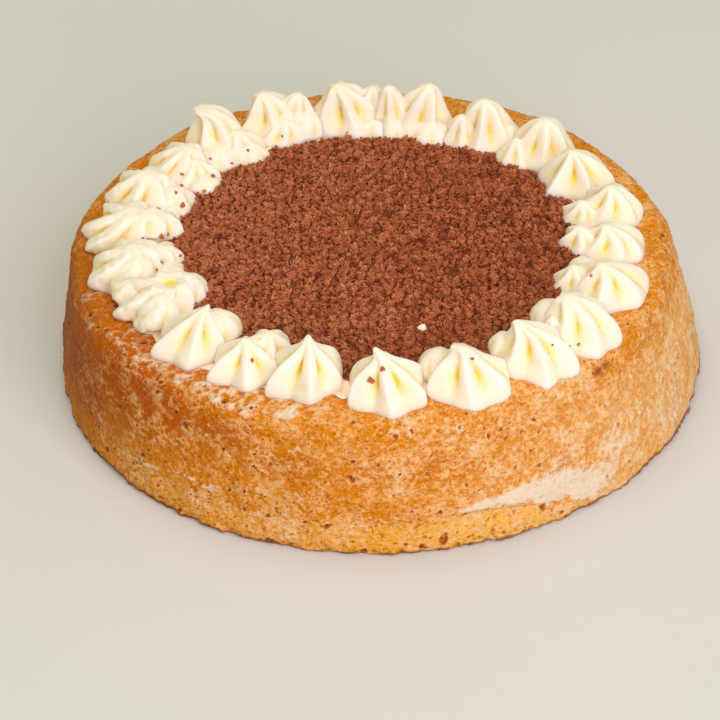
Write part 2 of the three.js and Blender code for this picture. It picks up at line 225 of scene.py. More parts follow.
# Chocolate flecks on the stars: star number, bearing round its axis, share of its height, size in mm.
FLECKS = (
    (1, -131, 0.50, 2.9), (1, -98, 0.70, 2.2), (21, -75, 0.62, 1.8), (2, -62, 0.80, 1.5),
    (5, -140, 0.75, 1.2), (3, -30, 0.50, 1.0), (3, -50, 0.35, 0.8), (4, -95, 0.15, 1.3),
    (4, -110, 0.12, 1.0), (14, -50, 0.30, 1.6), (14, -100, 0.25, 1.3), (14, -75, 0.16, 1.4),
    (15, -40, 0.40, 2.1), (15, -60, 0.25, 1.6), (15, -80, 0.45, 1.7), (16, -35, 0.40, 2.5),
    (16, 10, 0.35, 2.1), (16, -10, 0.20, 2.0), (16, -60, 0.30, 1.6), (17, -35, 0.40, 2.3),
    (17, -5, 0.35, 2.6), (17, 20, 0.30, 2.0), (17, 5, 0.18, 1.7), (17, -20, 0.22, 1.8),
    (17, -48, 0.20, 2.1), (17, 30, 0.55, 1.6), (16, -28, 0.60, 1.7), (16, -45, 0.15, 2.0),
    (18, -12, 0.50, 1.8), (18, 25, 0.45, 1.3), (17, -60, 0.45, 1.4), (15, -22, 0.22, 1.8),
    (18, -30, 0.40, 1.6), (18, 15, 0.30, 1.7), (18, 0, 0.18, 1.7), (18, 35, 0.25, 1.4),
    (19, 60, 0.35, 1.6), (19, 40, 0.20, 1.3), (13, -80, 0.30, 1.3), (12, -95, 0.20, 1.0),
)
FLECK_JITTER = 0.16

# Milk that has soaked out and dried pale on the crust: bearing, height, half spread in degrees, half height,
# tilt in mm of height for each degree, strength.
MILK_PATCHES = (
    (-164, 46.0, 3.0, 3.0, 0.0, 0.55),
    (-157, 45.0, 2.5, 4.0, 0.0, 0.60),
    (-147, 47.6, 5.0, 1.6, 0.0, 0.55),
    (-137, 47.6, 5.0, 1.5, 0.0, 0.75),
    (-130, 47.8, 4.0, 1.4, 0.0, 0.70),
    (-122, 47.5, 5.0, 1.5, 0.0, 0.90),
    (-115, 47.2, 4.0, 1.6, 0.0, 0.80),
    (-107, 47.6, 4.5, 1.2, 0.0, 0.95),
    (-138, 43.5, 2.5, 1.8, 0.0, 0.60),
    (-150, 17.5, 6.0, 3.5, 0.2, 0.45),
    (-141, 22.0, 4.0, 2.5, 0.3, 0.40),
    (-143, 11.6, 4.5, 1.0, 0.40, 0.60),
    (-135, 14.4, 4.5, 1.1, 0.30, 0.90),
    (-127, 16.8, 4.0, 1.0, 0.10, 0.90),
    (-121, 16.2, 3.0, 1.4, 0.1, 0.90),
    (-113, 19.5, 5.0, 2.0, 0.1, 0.55),
    (-105, 20.0, 4.0, 1.8, 0.1, 0.45),
    (-112, 10.8, 3.0, 1.0, 0.05, 0.75),
    (-107, 10.6, 2.0, 0.8, 0.05, 0.65),
    (-103.5, 37.5, 1.2, 1.8, 0.0, 0.60),
    (-109, 33.5, 1.2, 1.5, 0.0, 0.55),
    (-86.2, 43.6, 0.9, 2.6, 0.0, 0.85),
    (-83.2, 44.4, 0.8, 1.8, 0.0, 0.80),
    (-75.5, 42.5, 2.4, 2.6, 0.0, 0.50),
    (-91, 12.4, 1.6, 1.0, 0.0, 0.60),
    (-72, 15.0, 5.5, 1.5, 0.12, 1.30),
    (-65, 15.0, 5.5, 3.4, 0.05, 1.40),
    (-59, 13.2, 5.5, 6.0, 0.0, 1.40),
    (-53, 9.8, 5.0, 7.4, -0.2, 1.20),
    (-48.5, 9.2, 4.0, 7.0, -0.2, 0.75),
    (-57, 21.5, 7.0, 3.5, 0.0, 0.55),
    (-44, 19.0, 6.0, 8.0, 0.0, 0.55),
    (-42.8, 16.5, 0.9, 2.6, 0.0, 0.75),
    (-42.6, 6.0, 1.2, 1.6, 0.0, 0.85),
    (-36, 20.0, 5.0, 9.0, 0.0, 0.45),
    (-26, 8.0, 3.2, 1.8, -0.1, 0.85),
    (-17, 7.4, 3.0, 1.6, 0.0, 0.75),
    (-28, 22.0, 4.0, 9.0, 0.0, 0.45),
    (-18, 26.0, 4.0, 9.0, 0.0, 0.40),
    (5, 14.0, 9.0, 4.0, 0.1, 0.60),
    (30, 40.0, 6.0, 4.0, 0.0, 0.50),
    (52, 16.0, 10.0, 3.0, -0.1, 0.75),
    (80, 30.0, 6.0, 5.0, 0.0, 0.40),
    (104, 14.0, 8.0, 2.5, 0.1, 0.70),
    (128, 44.0, 7.0, 2.5, 0.0, 0.60),
    (150, 18.0, 8.0, 3.0, 0.0, 0.55),
    (172, 30.0, 5.0, 6.0, 0.0, 0.45),
)

# How far milk has soaked through the crust: bearing, and a share that is lowest where the crust is clear.
SOAK = (
    (-180, -0.30), (-150, -0.24), (-120, -0.15), (-95, -0.03), (-65, 0.08), (-45, 0.20), (-20, 0.25),
    (20, 0.18), (60, 0.02), (110, 0.0), (150, -0.1), (180, -0.30),
)

# Where the crust is darkest, in the same terms: baked darker, and on the left also painted shade where the
# wall turns from the light.
DARK_BAKE_AND_SHADE_PATCHES = (
    (-140, 38.0, 22.0, 16.0, 0.0, 1.00),
    (-160, 30.0, 22.0, 22.0, 0.0, 0.95),
    (-180, 26.0, 16.0, 24.0, 0.0, 1.00),
    (-120, 37.5, 9.0, 7.0, 0.0, 0.80),
    (-108, 30.0, 8.0, 6.0, 0.0, 0.50),
    (-88, 30.0, 9.0, 6.0, 0.0, 0.30),
    (-80, 33.0, 6.0, 5.0, 0.0, 0.35),
    (40, 30.0, 16.0, 9.0, 0.0, 0.50),
    (95, 40.0, 14.0, 8.0, 0.0, 0.60),
    (140, 32.0, 16.0, 9.0, 0.0, 0.60),
)

# Cocoa smudges on the shoulder, and painted shade that darkens the side of the wall turned from the light, in
# the same terms.
SMUDGES = ((-43.9, 43.4, 1.3, 1.5, 0.0, 0.9), (-41.6, 44.2, 1.2, 1.2, 0.0, 0.75))
PAINTED_SIDE_SHADE = ((-172, 26.0, 23.0, 30.0, 0.0, 0.48),)

# Upper edge of the torn lower skin, where the yellow crumb shows: bearing and height.
CRUMB_EDGE = (
    (-180, 8.0), (-150, 14.0), (-136, 16.0), (-120, 15.5), (-113, 10.0), (-101, 10.8), (-90, 12.0),
    (-80, 12.2), (-75, 13.2), (-66, 11.2), (-60, 8.2), (-52, 3.0), (-44, 5.0), (-33, 6.5), (-22, 5.0),
    (-5, 6.0), (20, 9.0), (60, 11.0), (100, 9.0), (140, 12.0), (180, 8.0),
)

# The camera of the picture: distance, height angle, turns in radians, and lens.
CAMERA_TARGET = Vector((0, 0, 35 * MM))
CAMERA_DISTANCE = 1292.134 * MM
CAMERA_ELEVATION = 34.61
CAMERA_YAW = 0.0060
CAMERA_TILT = 0.0230
CAMERA_ROLL = 0.0230
CAMERA_LENS = 184.635
CAMERA_SENSOR = 36


def linear(code):
    """An sRGB hex colour as the linear colour that a shader wants."""
    parts = [int(code[k:k + 2], 16) / 255 for k in (0, 2, 4)]
    return tuple(c / 12.92 if c <= 0.04045 else ((c + 0.055) / 1.055) ** 2.4 for c in parts)


def per_mm(size):
    """The scale of a pattern whose features are this many mm across, in Object coordinates."""
    return 1 / (size * MM)


def set_inputs(tree, node, inputs):
    """Set a node's inputs, or link those that are given a socket."""
    for key, value in inputs.items():
        if isinstance(value, bpy.types.NodeSocket):
            tree.links.new(value, node.inputs[key])
        else:
            node.inputs[key].default_value = value


def add_node(tree, kind, inputs=None, **settings):
    """Add a shader node, then set its fields and set or link its inputs."""
    made = tree.nodes.new(kind)
    for field, value in settings.items():
        setattr(made, field, value)
    set_inputs(tree, made, inputs or {})
    return made


def new_material(name):
    """An empty material with its tree, shader and output."""
    material = bpy.data.materials.new(name)
    material.use_nodes = True
    tree = material.node_tree
    tree.nodes.clear()
    shader = add_node(tree, "ShaderNodeBsdfPrincipled")
    add_node(tree, "ShaderNodeOutputMaterial", {"Surface": shader.outputs[0]})
    return material, tree, shader


def rgba(colour):
    """A linear colour as an opaque one."""
    return (*colour[:3], 1.0)


class CakeSizes(bpy.types.PropertyGroup):
    """Sizes that a user would change."""

    pore_depth: bpy.props.FloatProperty(
        name="Pore depth", description="Depth of the largest pores in the crust",
        default=1.1 * MM, unit="LENGTH")
    crust_relief: bpy.props.FloatProperty(
        name="Crust relief", description="Unevenness of the crust between pores",
        default=0.5 * MM, unit="LENGTH")
    groove_depth: bpy.props.FloatProperty(
        name="Groove depth", description="Depth of the grooves in the stars, 1 as piped",
        default=1.0, min=0, max=1.5)
    flake_length: bpy.props.FloatProperty(
        name="Flake length", description="Length of a middling chocolate flake",
        default=1.5 * MM, unit="LENGTH")
    flake_count: bpy.props.IntProperty(
        name="Flakes", description="Chocolate flakes of all kinds on the bed", default=25000, min=0)


class CakeColours(bpy.types.PropertyGroup):
    """Colours that a user would change."""

    crust: bpy.props.FloatVectorProperty(
        name="Crust", description="Golden crust", subtype="COLOR", default=linear("E28A0C"))
    # Baked dark crust, also used as painted shade on the side turned from the light.
    crust_deep_and_shade: bpy.props.FloatVectorProperty(
        name="Deep crust", description="Darkest baked crust", subtype="COLOR", default=linear("BE5800"))
    haze: bpy.props.FloatVectorProperty(
        name="Milk haze", description="Thin milk over the crust", subtype="COLOR", default=linear("F6BC74"))
    # Partly painted glints, partly soaked crumbs.
    speck_and_glint: bpy.props.FloatVectorProperty(
        name="Pale specks", description="Soaked specks between the crumbs",
        subtype="COLOR", default=linear("F8DCB2"))
    milk: bpy.props.FloatVectorProperty(
        name="Milk", description="Dried milk on the crust", subtype="COLOR", default=linear("F2DEC0"))
    crumb: bpy.props.FloatVectorProperty(
        name="Crumb", description="Open yellow crumb at the foot", subtype="COLOR", default=linear("F8BE46"))
    pore: bpy.props.FloatVectorProperty(
        name="Pores", description="Inside of a pore", subtype="COLOR", default=linear("8C460C"))
    pit: bpy.props.FloatVectorProperty(
        name="Small pits", description="Saturated orange of small pits",
        subtype="COLOR", default=linear("C66806"))
    # The burnt colour also paints shade on the side of the wall turned from the light.
    burnt_and_shade: bpy.props.FloatVectorProperty(
        name="Burnt edge", description="Brown line round the foot", subtype="COLOR", default=linear("8A4B24"))
    smudge: bpy.props.FloatVectorProperty(
        name="Smudge", description="Cocoa smudge on the shoulder", subtype="COLOR", default=linear("9A4828"))
    cream: bpy.props.FloatVectorProperty(
        name="Cream", description="Ridges of the piped cream", subtype="COLOR", default=linear("FDEEE2"))
    cream_coat: bpy.props.FloatVectorProperty(
        name="Cream coat", description="Thin cream between the stars",
        subtype="COLOR", default=linear("FFF3DC"))
    # Painted shade: the yellow painted where light is lost deep in the grooves.
    cream_groove_shade: bpy.props.FloatVectorProperty(
        name="Cream grooves", description="Deep in the grooves of the cream",
        subtype="COLOR", default=linear("FFE13C"))
    chocolate: bpy.props.FloatVectorProperty(
        name="Chocolate", description="Middling chocolate flake", subtype="COLOR", default=linear("B6643C"))
    # Palest flakes, more of them where light is painted on the lump tops and the left of the heap.
    chocolate_light: bpy.props.FloatVectorProperty(
        name="Light chocolate", description="Palest flakes", subtype="COLOR", default=linear("C98A60"))
    # Dark flakes, and painted shade in the gaps between lumps.
    chocolate_dark_and_shade: bpy.props.FloatVectorProperty(
        name="Dark chocolate", description="Flakes in the gaps", subtype="COLOR", default=linear("5A2610"))
    floor: bpy.props.FloatVectorProperty(
        name="Floor", description="Plain pale floor", subtype="COLOR", default=linear("D8D9D8"))


def sizes():
    """The sizes as they are set in the scene."""
    return bpy.context.scene.cake_sizes


def colours():
    """The colours as they are set in the scene."""
    return bpy.context.scene.cake_colours


def deselect():
    """Leave nothing selected, so that the next operator acts on its own piece alone."""
    if bpy.context.object and bpy.context.object.mode != "OBJECT":
        bpy.ops.object.mode_set(mode="OBJECT")
    bpy.ops.object.select_all(action="DESELECT")


def only(piece):
    """Make a piece the active one and the only one selected."""
    deselect()
    piece.select_set(True)
    bpy.context.view_layer.objects.active = piece


def edit_all():
    """Edit the active piece, with all of it selected."""
    bpy.ops.object.mode_set(mode="EDIT")
    bpy.ops.mesh.select_all(action="SELECT")


def smooth_faces(mesh):
    """Shade all faces smooth."""
    mesh.polygons.foreach_set("use_smooth", np.ones(len(mesh.polygons), dtype=bool))


def apply_modifier(piece, kind, **settings):
    """Add a modifier, set it and apply it."""
    only(piece)
    modifier = piece.modifiers.new(kind.title(), kind)
    for field, value in settings.items():
        setattr(modifier, field, value)
    bpy.ops.object.modifier_apply(modifier=modifier.name)


def points_of(mesh, field="co"):
    """The places of a mesh's vertices, or their normals, as an array."""
    flat = np.empty(len(mesh.vertices) * 3)
    mesh.vertices.foreach_get(field, flat)
    return flat.reshape(-1, 3)


def move_points(mesh, points):
    """Put a mesh's vertices at new places."""
    mesh.vertices.foreach_set("co", np.ascontiguousarray(points, dtype=float).ravel())
    mesh.update()


def store(mesh, name, values):
    """Keep one number for each vertex, for the material to read."""
    attribute = mesh.attributes.get(name) or mesh.attributes.new(name, "FLOAT", "POINT")
    attribute.data.foreach_set("value", np.ascontiguousarray(values, dtype=np.float32))


def nearest_tree(points):
    """A tree that finds which of the points are near a place."""
    tree = kdtree.KDTree(len(points))
    for k, p in enumerate(points):
        tree.insert(p, k)
    tree.balance()
    return tree


CORNERS = [(i, j, k) for i in (0, 1) for j in (0, 1) for k in (0, 1)]
SLOPES = np.array([(1, 1, 0), (-1, 1, 0), (1, -1, 0), (-1, -1, 0), (1, 0, 1), (-1, 0, 1),
                   (1, 0, -1), (-1, 0, -1), (0, 1, 1), (0, -1, 1), (0, 1, -1), (0, -1, -1)], dtype=float)


def ripple(points, size, seed=0.0):
    """Smooth noise from about -1 to 1 with features of this size in mm, at each point."""
    spots = np.asarray(points) * per_mm(size) + seed * np.array((1.0, 1.7, 0.6))
    cell = np.floor(spots).astype(np.int64)
    part = spots - cell
    ease = part ** 3 * (part * (6 * part - 15) + 10)
    total = np.zeros(len(spots))
    for corner in CORNERS:
        key = cell + corner
        mixed = (key[:, 0] * 73856093) ^ (key[:, 1] * 19349663) ^ (key[:, 2] * 83492791)
        mixed = (mixed & 0xFFFFFFFF) * 2654435761 & 0xFFFFFFFF
        mixed = (mixed ^ (mixed >> 15)) * 2246822519 & 0xFFFFFFFF
        slope = SLOPES[(mixed ^ (mixed >> 13)) % len(SLOPES)]
        weight = np.prod(np.where(corner, ease, 1 - ease), axis=1)
        total += weight * np.sum(slope * (part - corner), axis=1)
    return 1.2 * total


def smooth_step(low, high, values):
    """Shares that ease from 0 at the first value to 1 at the second."""
    share = np.clip((values - low) / (high - low), 0, 1)
    return share * share * (3 - 2 * share)


def finish_piece(piece, name, material, nodes=()):
    """Name a finished piece, give it its material and let it stand for its CAD nodes."""
    piece.name = name
    piece.data.name = name
    piece.data.materials.clear()
    piece.data.materials.append(material)
    only(piece)
    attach(piece, "root")
    if nodes:
        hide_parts(*nodes)


def shell_of(*names):
    """A tree of the faces of some CAD nodes or pieces, to find where they are."""
    points = []
    faces = []
    for name in names:
        mesh = bpy.data.objects[name].data
        start = len(points)
        points.extend(v.co.copy() for v in mesh.vertices)
        faces.extend([start + k for k in face.vertices] for face in mesh.polygons)
    return BVHTree.FromPolygons(points, faces)


def height_at(tree, x, y):
    """The height of the topmost face over a place, or None."""
    place = tree.ray_cast(Vector((x, y, 1)), Vector((0, 0, -1)))[0]
    return place.z if place else None


def wall_radius(z):
    """The sponge's radius at a height, before its unevenness."""
    if z <= SHOULDER_START:
        return FOOT_RADIUS - TAPER * z - BELLY * z * z
    over = min((z - SHOULDER_START) / SHOULDER_RADIUS, 1)
    return wall_radius(SHOULDER_START) - SHOULDER_RADIUS * (1 - math.sqrt(1 - over * over))


def patch_strength(patches, bearing, z):
    """How strongly a list of patches covers each place on the wall."""
    total = np.zeros_like(z)
    for at, height, spread, half, tilt, strength in patches:
        turn = (bearing - at + 180) % 360 - 180
        rise = (z / MM - height - tilt * turn) / half
        share = np.exp(-np.power((turn / spread) ** 2 + rise ** 2, 1.4))
        total = np.maximum(total, strength * share)
    return total


def open_caps():
    """Take the flat many sided faces off the piece in edit mode, since they smooth badly."""
    bpy.ops.mesh.select_all(action="DESELECT")
    bpy.ops.mesh.select_mode(type="FACE")
    bpy.ops.mesh.select_face_by_sides(number=4, type="GREATER")
    bpy.ops.mesh.delete(type="ONLY_FACE")
    bpy.ops.mesh.select_mode(type="VERT")
    bpy.ops.object.mode_set(mode="OBJECT")


def close_caps(piece):
    """Close the piece's open ends and turn its faces outwards."""
    only(piece)
    edit_all()
    bpy.ops.mesh.fill_holes(sides=0)
    bpy.ops.mesh.select_all(action="SELECT")
    bpy.ops.mesh.normals_make_consistent(inside=False)
    bpy.ops.object.mode_set(mode="OBJECT")


# The sponge's cage: rows up its wall in mm, turns over its shoulder in degrees, radii on its top in mm.
SPONGE_SIDES = 232
SPONGE_ROWS = (
    0.5, 1.2, 3, 5.6, 8.2, 10.8, 13.4, 16, 18.6, 21.2, 23.8, 26.4, 29, 31.6, 34.2, 36.8, 39.2, 41.5)
SHOULDER_TURNS = (22, 42, 60, 76)
TOP_ROWS = (96, 92, 86, 70)
FOOT_TUCK = 0.6 * MM

# The crust's relief starts at this radius on the top, and the foot is worn outside the second one.
CRUST_START = 84 * MM
WORN_START = 100 * MM

PORE_COUNT = 3400
LARGE_PORE_COUNT = 210
SORTING_LINE = np.array((1.0, 0.618, 0.414))

# What the crust's vertices keep for its material.
SPONGE_FIELDS = ("milk", "crumb", "deep_and_shade", "soak", "pore", "rim", "burnt_and_shade", "smudge")


def sponge_cage():
    """The sponge's coarse form: a disc drawn up row by row, then over its rounded shoulder."""
    deselect()
    bpy.ops.mesh.primitive_circle_add(vertices=SPONGE_SIDES, radius=FOOT_RADIUS - FOOT_TUCK, fill_type="NGON")
    cage = bpy.context.object
    rows = [(z * MM, wall_radius(z * MM)) for z in SPONGE_ROWS]
    for turn in SHOULDER_TURNS:
        z = SHOULDER_START + SHOULDER_RADIUS * math.sin(math.radians(turn))
        rows.append((z, wall_radius(z)))
    rows.extend((SPONGE_TOP, radius * MM) for radius in TOP_ROWS)
    edit_all()
    last_z, last_radius = 0.0, FOOT_RADIUS - FOOT_TUCK
    for z, radius in rows:
        slide = TOP_SHIFT * (z - last_z) / SPONGE_TOP
        bpy.ops.mesh.extrude_region_move(TRANSFORM_OT_translate={"value": (slide, 0, z - last_z)})
        share = radius / last_radius
        middle = (TOP_SHIFT * z / SPONGE_TOP, 0, z)
        bpy.ops.transform.resize(value=(share, share, 1), center_override=middle)
        last_z, last_radius = z, radius
    open_caps()
    apply_modifier(cage, "SHRINKWRAP", target=bpy.data.objects["sponge"], wrap_method="NEAREST_SURFACEPOINT")
    apply_modifier(cage, "SUBSURF", levels=2, render_levels=2)
    close_caps(cage)
    return cage


def stamp_pores(points, wall, crumb, ragged, clear):
    """Sink ragged pores of many sizes into the crust: how far, and each point's share of pore and of rim."""
    draw = np.random.default_rng(PORE_SEED)
    tree = nearest_tree(points)
    sink, inside, rim = np.zeros((3, len(points)))
    # The order of the vertices can change from run to run, so the places are sorted along a slanting line.
    places = np.flatnonzero(wall)
    places = places[np.argsort(points[places] @ SORTING_LINE)]
    deepest = sizes().pore_depth
    for number in range(PORE_COUNT):
        at = places[draw.integers(len(places))]
        large = number < LARGE_PORE_COUNT
        radius = (0.7 + 0.6 * draw.random() ** 2 if large else 0.45 + 0.30 * draw.random()) * MM
        radius = radius * (1 + 0.5 * crumb[at])
        depth = deepest * (0.6 + 0.4 * draw.random()) * (1 - 0.4 * crumb[at] if large else 0.28)
        stretch = 0.8 + 0.9 * draw.random()
        strength = clear[at] * (1 if large else 0.30 + 0.25 * draw.random())
        middle = points[at]
        for place, k, gap in tree.find_range(middle, radius * 2.2):
            rise = place[2] - middle[2]
            flat = math.sqrt(max(gap * gap - rise * rise, 0) + (rise * stretch) ** 2)
            share = flat / radius * (1 + 0.55 * ragged[k])
            if share < 1:
                bowl = (1 - share * share) ** 1.5
                sink[k] = max(sink[k], depth * bowl)
                inside[k] = max(inside[k], strength * bowl)
            elif large and share < 1.8:
                rim[k] = max(rim[k], 1 - (share - 1) / 0.8)
    return sink, inside, rim * (inside < 0.05)


class CAKE_OT_sponge(bpy.types.Operator):
    """Model the soaked sponge with its pores, torn lower skin and dried milk"""

    bl_idname = "cake.sponge"
    bl_label = "Sponge"

    def execute(self, context):
        piece = sponge_cage()
        mesh = piece.data
        points = points_of(mesh)
        normals = points_of(mesh, "normal")
        x, y, z = points.T
        bearing = np.degrees(np.arctan2(y, x - TOP_SHIFT * z / SPONGE_TOP))
        spread = np.hypot(x - TOP_SHIFT * z / SPONGE_TOP, y)
        wall = (z > 0.3 * MM) & (spread > CRUST_START)
        edges = np.array(CRUMB_EDGE)
        edge = np.interp(bearing, edges[:, 0], edges[:, 1]) * MM
        broad, middling, fine, grit = np.zeros((4, len(points)))
        for noise, size, seed in ((broad, 22, 3.1), (middling, 6.5, 8.4), (fine, 2.6, 1.9), (grit, 1.5, 5.5)):
            noise[wall] = ripple(points[wall], size, seed)
        clean = np.interp(bearing, (-84, -74, -58, -50), (0, 1, 1, 0))
        broken = (1 - clean) * (2.6 * middling + 1.6 * fine) + clean * 0.7 * fine
        edge = edge + broken * MM
        blur = (0.4 + 2.4 * (1 - clean)) * MM
        shown = np.interp(
            bearing, (-150, -120, -84, -74, -58, -50, 180), (0.12, 0.30, 0.65, 1, 1, 0.55, 0.3))
        crumb = smooth_step(1, -1, (z - edge) / blur) * wall * shown
        milk = patch_strength(MILK_PATCHES, bearing + 0.9 * middling, z + 0.7 * MM * middling) * wall
        smear = np.interp(bearing, (-79, -75, -46, -43), (0, 1, 1, 0)) * smooth_step(26 * MM, 20 * MM, z)
        blotch = smooth_step(-0.45, 0.30, fine + 0.7 * middling)
        milk = milk * (1 - crumb * clean) * (smear + (1 - smear) * (0.45 + 0.55 * blotch))
        milk = np.minimum(milk, 1)
        # Partly painted shade: the patches on the left darken the side turned from the light, besides where
        # the crust baked darker.
        deep_and_shade = patch_strength(DARK_BAKE_AND_SHADE_PATCHES, bearing + 2 * middling, z + 2 * MM * middling) * wall
        smudge = patch_strength(SMUDGES, bearing + 0.5 * fine, z + 0.5 * MM * fine) * wall
        shoulder = smooth_step(34 * MM, 44 * MM, z) * np.interp(bearing, (-55, -35, 40, 80), (0, 1, 1, 0))
        low = smooth_step(18 * MM, 7 * MM, z) * np.interp(bearing, (-160, -145, -110, -95), (0, 1, 1, 0))
        soak = np.interp(bearing, *np.transpose(SOAK)) + 0.07 * broad - 0.24 * shoulder + 0.16 * low
        clear = 1.4 - 0.4 * smooth_step(-0.14, -0.02, soak) - 0.6 * smooth_step(0.05, 0.25, soak)
        sink, inside, rim = stamp_pores(points, wall & (milk < 0.75), crumb, fine + grit, clear)
        thick = np.interp(bearing, (-170, -140, -115, -95, -45, -25, 0), (1.8, 1.7, 0.9, 0.6, 0.8, 1.9, 1.9))
        burnt_height = (thick + 0.9 * middling + 0.7 * fine) * MM
        burnt_and_shade = 0.85 * smooth_step(0.7 * MM, -0.5 * MM, z - burnt_height)
        # Painted shade: the side turned from the light is darkened with the burnt colour, over the burnt line
        # round the foot.
        painted_side_shade = patch_strength(PAINTED_SIDE_SHADE, bearing + 3 * middling, z + 2 * MM * middling) * wall
        burnt_and_shade = np.maximum(burnt_and_shade, painted_side_shade)
        relief = sizes().crust_relief
        rise = 1.1 * relief * broad + 0.8 * relief * middling
        rise = rise + relief * (fine * 0.7 + grit * 0.6) * (1 - 0.8 * milk)
        rise = rise - 0.75 * MM * crumb * smooth_step(0, 1.5 * MM, z) - sink
        rise = rise + 0.12 * MM * rim + 0.35 * MM * milk
        rise = rise * wall * smooth_step(0, 0.6 * MM, z)
        foot = smooth_step(4 * MM, 0.5 * MM, z) * (spread > WORN_START)
        level = points * np.array((1, 1, 0))
        crag = ripple(level, 5, 6.2) + 0.8 * ripple(level, 2.2, 3.9)
        worn = 0.80 * MM * foot * (crag + 0.6) / FOOT_RADIUS
        move_points(mesh, points - level * worn[:, None] + normals * rise[:, None])
        for name, values in zip(SPONGE_FIELDS, (milk, crumb, deep_and_shade, soak, inside, rim, burnt_and_shade, smudge)):
            store(mesh, name, values)
        smooth_faces(mesh)
        finish_piece(piece, "sponge_crust", sponge_material(), ("sponge",))
        return {"FINISHED"}


def sponge_material():
    """Baked sponge crust soaked with milk: orange gold and mottled, with dark pores and damp pale film,
    painted glints among its pale specks and painted shade on the side turned from the light.
    """
    material, tree, shader = new_material("baked_sponge_crust")
    tint = colours()
    where = add_node(tree, "ShaderNodeTexCoord").outputs["Object"]
    milk, crumb, deep_and_shade, soak, pore, rim, burnt_and_shade, smudge = (
        add_node(tree, "ShaderNodeAttribute", attribute_name=name).outputs["Fac"] for name in SPONGE_FIELDS)
    # Crumbs about 2 mm across that lie wider than they are tall, in clouds of 9 mm, with grains of 1 mm.
    wide = add_node(tree, "ShaderNodeMapping", {"Vector": where, "Scale": (1, 1, 1.25)}).outputs[0]
    mottle, clouds, grain = (
        add_node(tree, "ShaderNodeTexNoise",
                 {"Vector": wide, "Scale": per_mm(size), "Detail": detail, "Roughness": rough}).outputs["Fac"]
        for size, detail, rough in ((2.3, 4.0, 0.6), (9, 3.0, 0.6), (1.1, 3.0, 0.65)))
    # Milk lies on the crust as a film, thin in some places and thick in others.
    film = add_node(tree, "ShaderNodeMath", {0: clouds, 1: 0.9, 2: mottle},
                    operation="MULTIPLY_ADD").outputs[0]
    thin = add_node(tree, "ShaderNodeMapRange",
                    {"Value": film, "From Min": 0.83, "From Max": 1.09, "To Max": 0.95}).outputs[0]
    thin = add_node(tree, "ShaderNodeMath", {0: soak, 1: 2.2, 2: thin},
                    operation="MULTIPLY_ADD", use_clamp=True).outputs[0]
    film = add_node(tree, "ShaderNodeMath", {0: soak, 1: 0.5, 2: film}, operation="MULTIPLY_ADD").outputs[0]
    thick = add_node(tree, "ShaderNodeMapRange",
                     {"Value": film, "From Min": 1.06, "From Max": 1.35, "To Max": 0.75}).outputs[0]
    soaked = add_node(tree, "ShaderNodeMath", {0: mottle, 1: 1.5, 2: milk},
                      operation="MULTIPLY_ADD").outputs[0]
    soaked = add_node(tree, "ShaderNodeMapRange",
                      {"Value": soaked, "From Min": 1.05, "From Max": 1.65}).outputs[0]
    pale = add_node(tree, "ShaderNodeMath", {0: rim, 1: 0.4}, operation="MULTIPLY").outputs[0]
    # Small pits show where the crust is clear, and pale specks where it is damp; the specks are partly soaked
    # crumbs and partly painted glints.
    clear = add_node(tree, "ShaderNodeMapRange",
                     {"Value": soak, "From Min": 0.28, "From Max": 0.05, "To Max": 0.75}).outputs[0]
    pits = add_node(tree, "ShaderNodeMapRange",
                    {"Value": grain, "From Min": 0.46, "From Max": 0.32, "To Max": clear}).outputs[0]
    damp = add_node(tree, "ShaderNodeMapRange", {
        "Value": soak, "From Min": -0.2, "From Max": 0.1, "To Min": 0.3, "To Max": 0.85}).outputs[0]
    flecks = add_node(tree, "ShaderNodeMapRange",
                      {"Value": grain, "From Min": 0.57, "From Max": 0.69, "To Max": damp}).outputs[0]
    pocks, holes = (
        add_node(tree, "ShaderNodeMapRange", {"Value": pore, "From Min": low, "From Max": high}).outputs[0]
        for low, high in ((0.05, 0.4), (0.4, 0.9)))
    base = rgba(tint.crust)
    for share, colour in (
            (deep_and_shade, tint.crust_deep_and_shade), (crumb, tint.crumb), (thin, tint.haze), (pits, tint.pit),
            (thick, tint.milk), (soaked, tint.milk), (pale, tint.milk), (pocks, tint.pit),
            (holes, tint.pore), (flecks, tint.speck_and_glint), (burnt_and_shade, tint.burnt_and_shade), (smudge, tint.smudge)):
        base = add_node(tree, "ShaderNodeMix", {0: share, 6: base, 7: rgba(colour)},
                        data_type="RGBA").outputs[2]
    gloss = add_node(tree, "ShaderNodeMapRange", {
        "Value": mottle, "From Min": 0.35, "From Max": 0.7, "To Min": 0.34, "To Max": 0.6}).outputs[0]
    height = add_node(tree, "ShaderNodeMath", {0: grain, 1: 0.5, 2: mottle},
                      operation="MULTIPLY_ADD").outputs[0]
    bumps = add_node(tree, "ShaderNodeBump",
                     {"Height": height, "Strength": 1.0, "Distance": 1.6 * MM}).outputs[0]
    set_inputs(tree, shader, {
        "Base Color": base, "Roughness": gloss, "Normal": bumps, "IOR": 1.4, "Specular IOR Level": 0.06,
        "Subsurface Weight": 0.2, "Subsurface Radius": (1.0, 0.45, 0.15), "Subsurface Scale": 1.6 * MM})
    return material


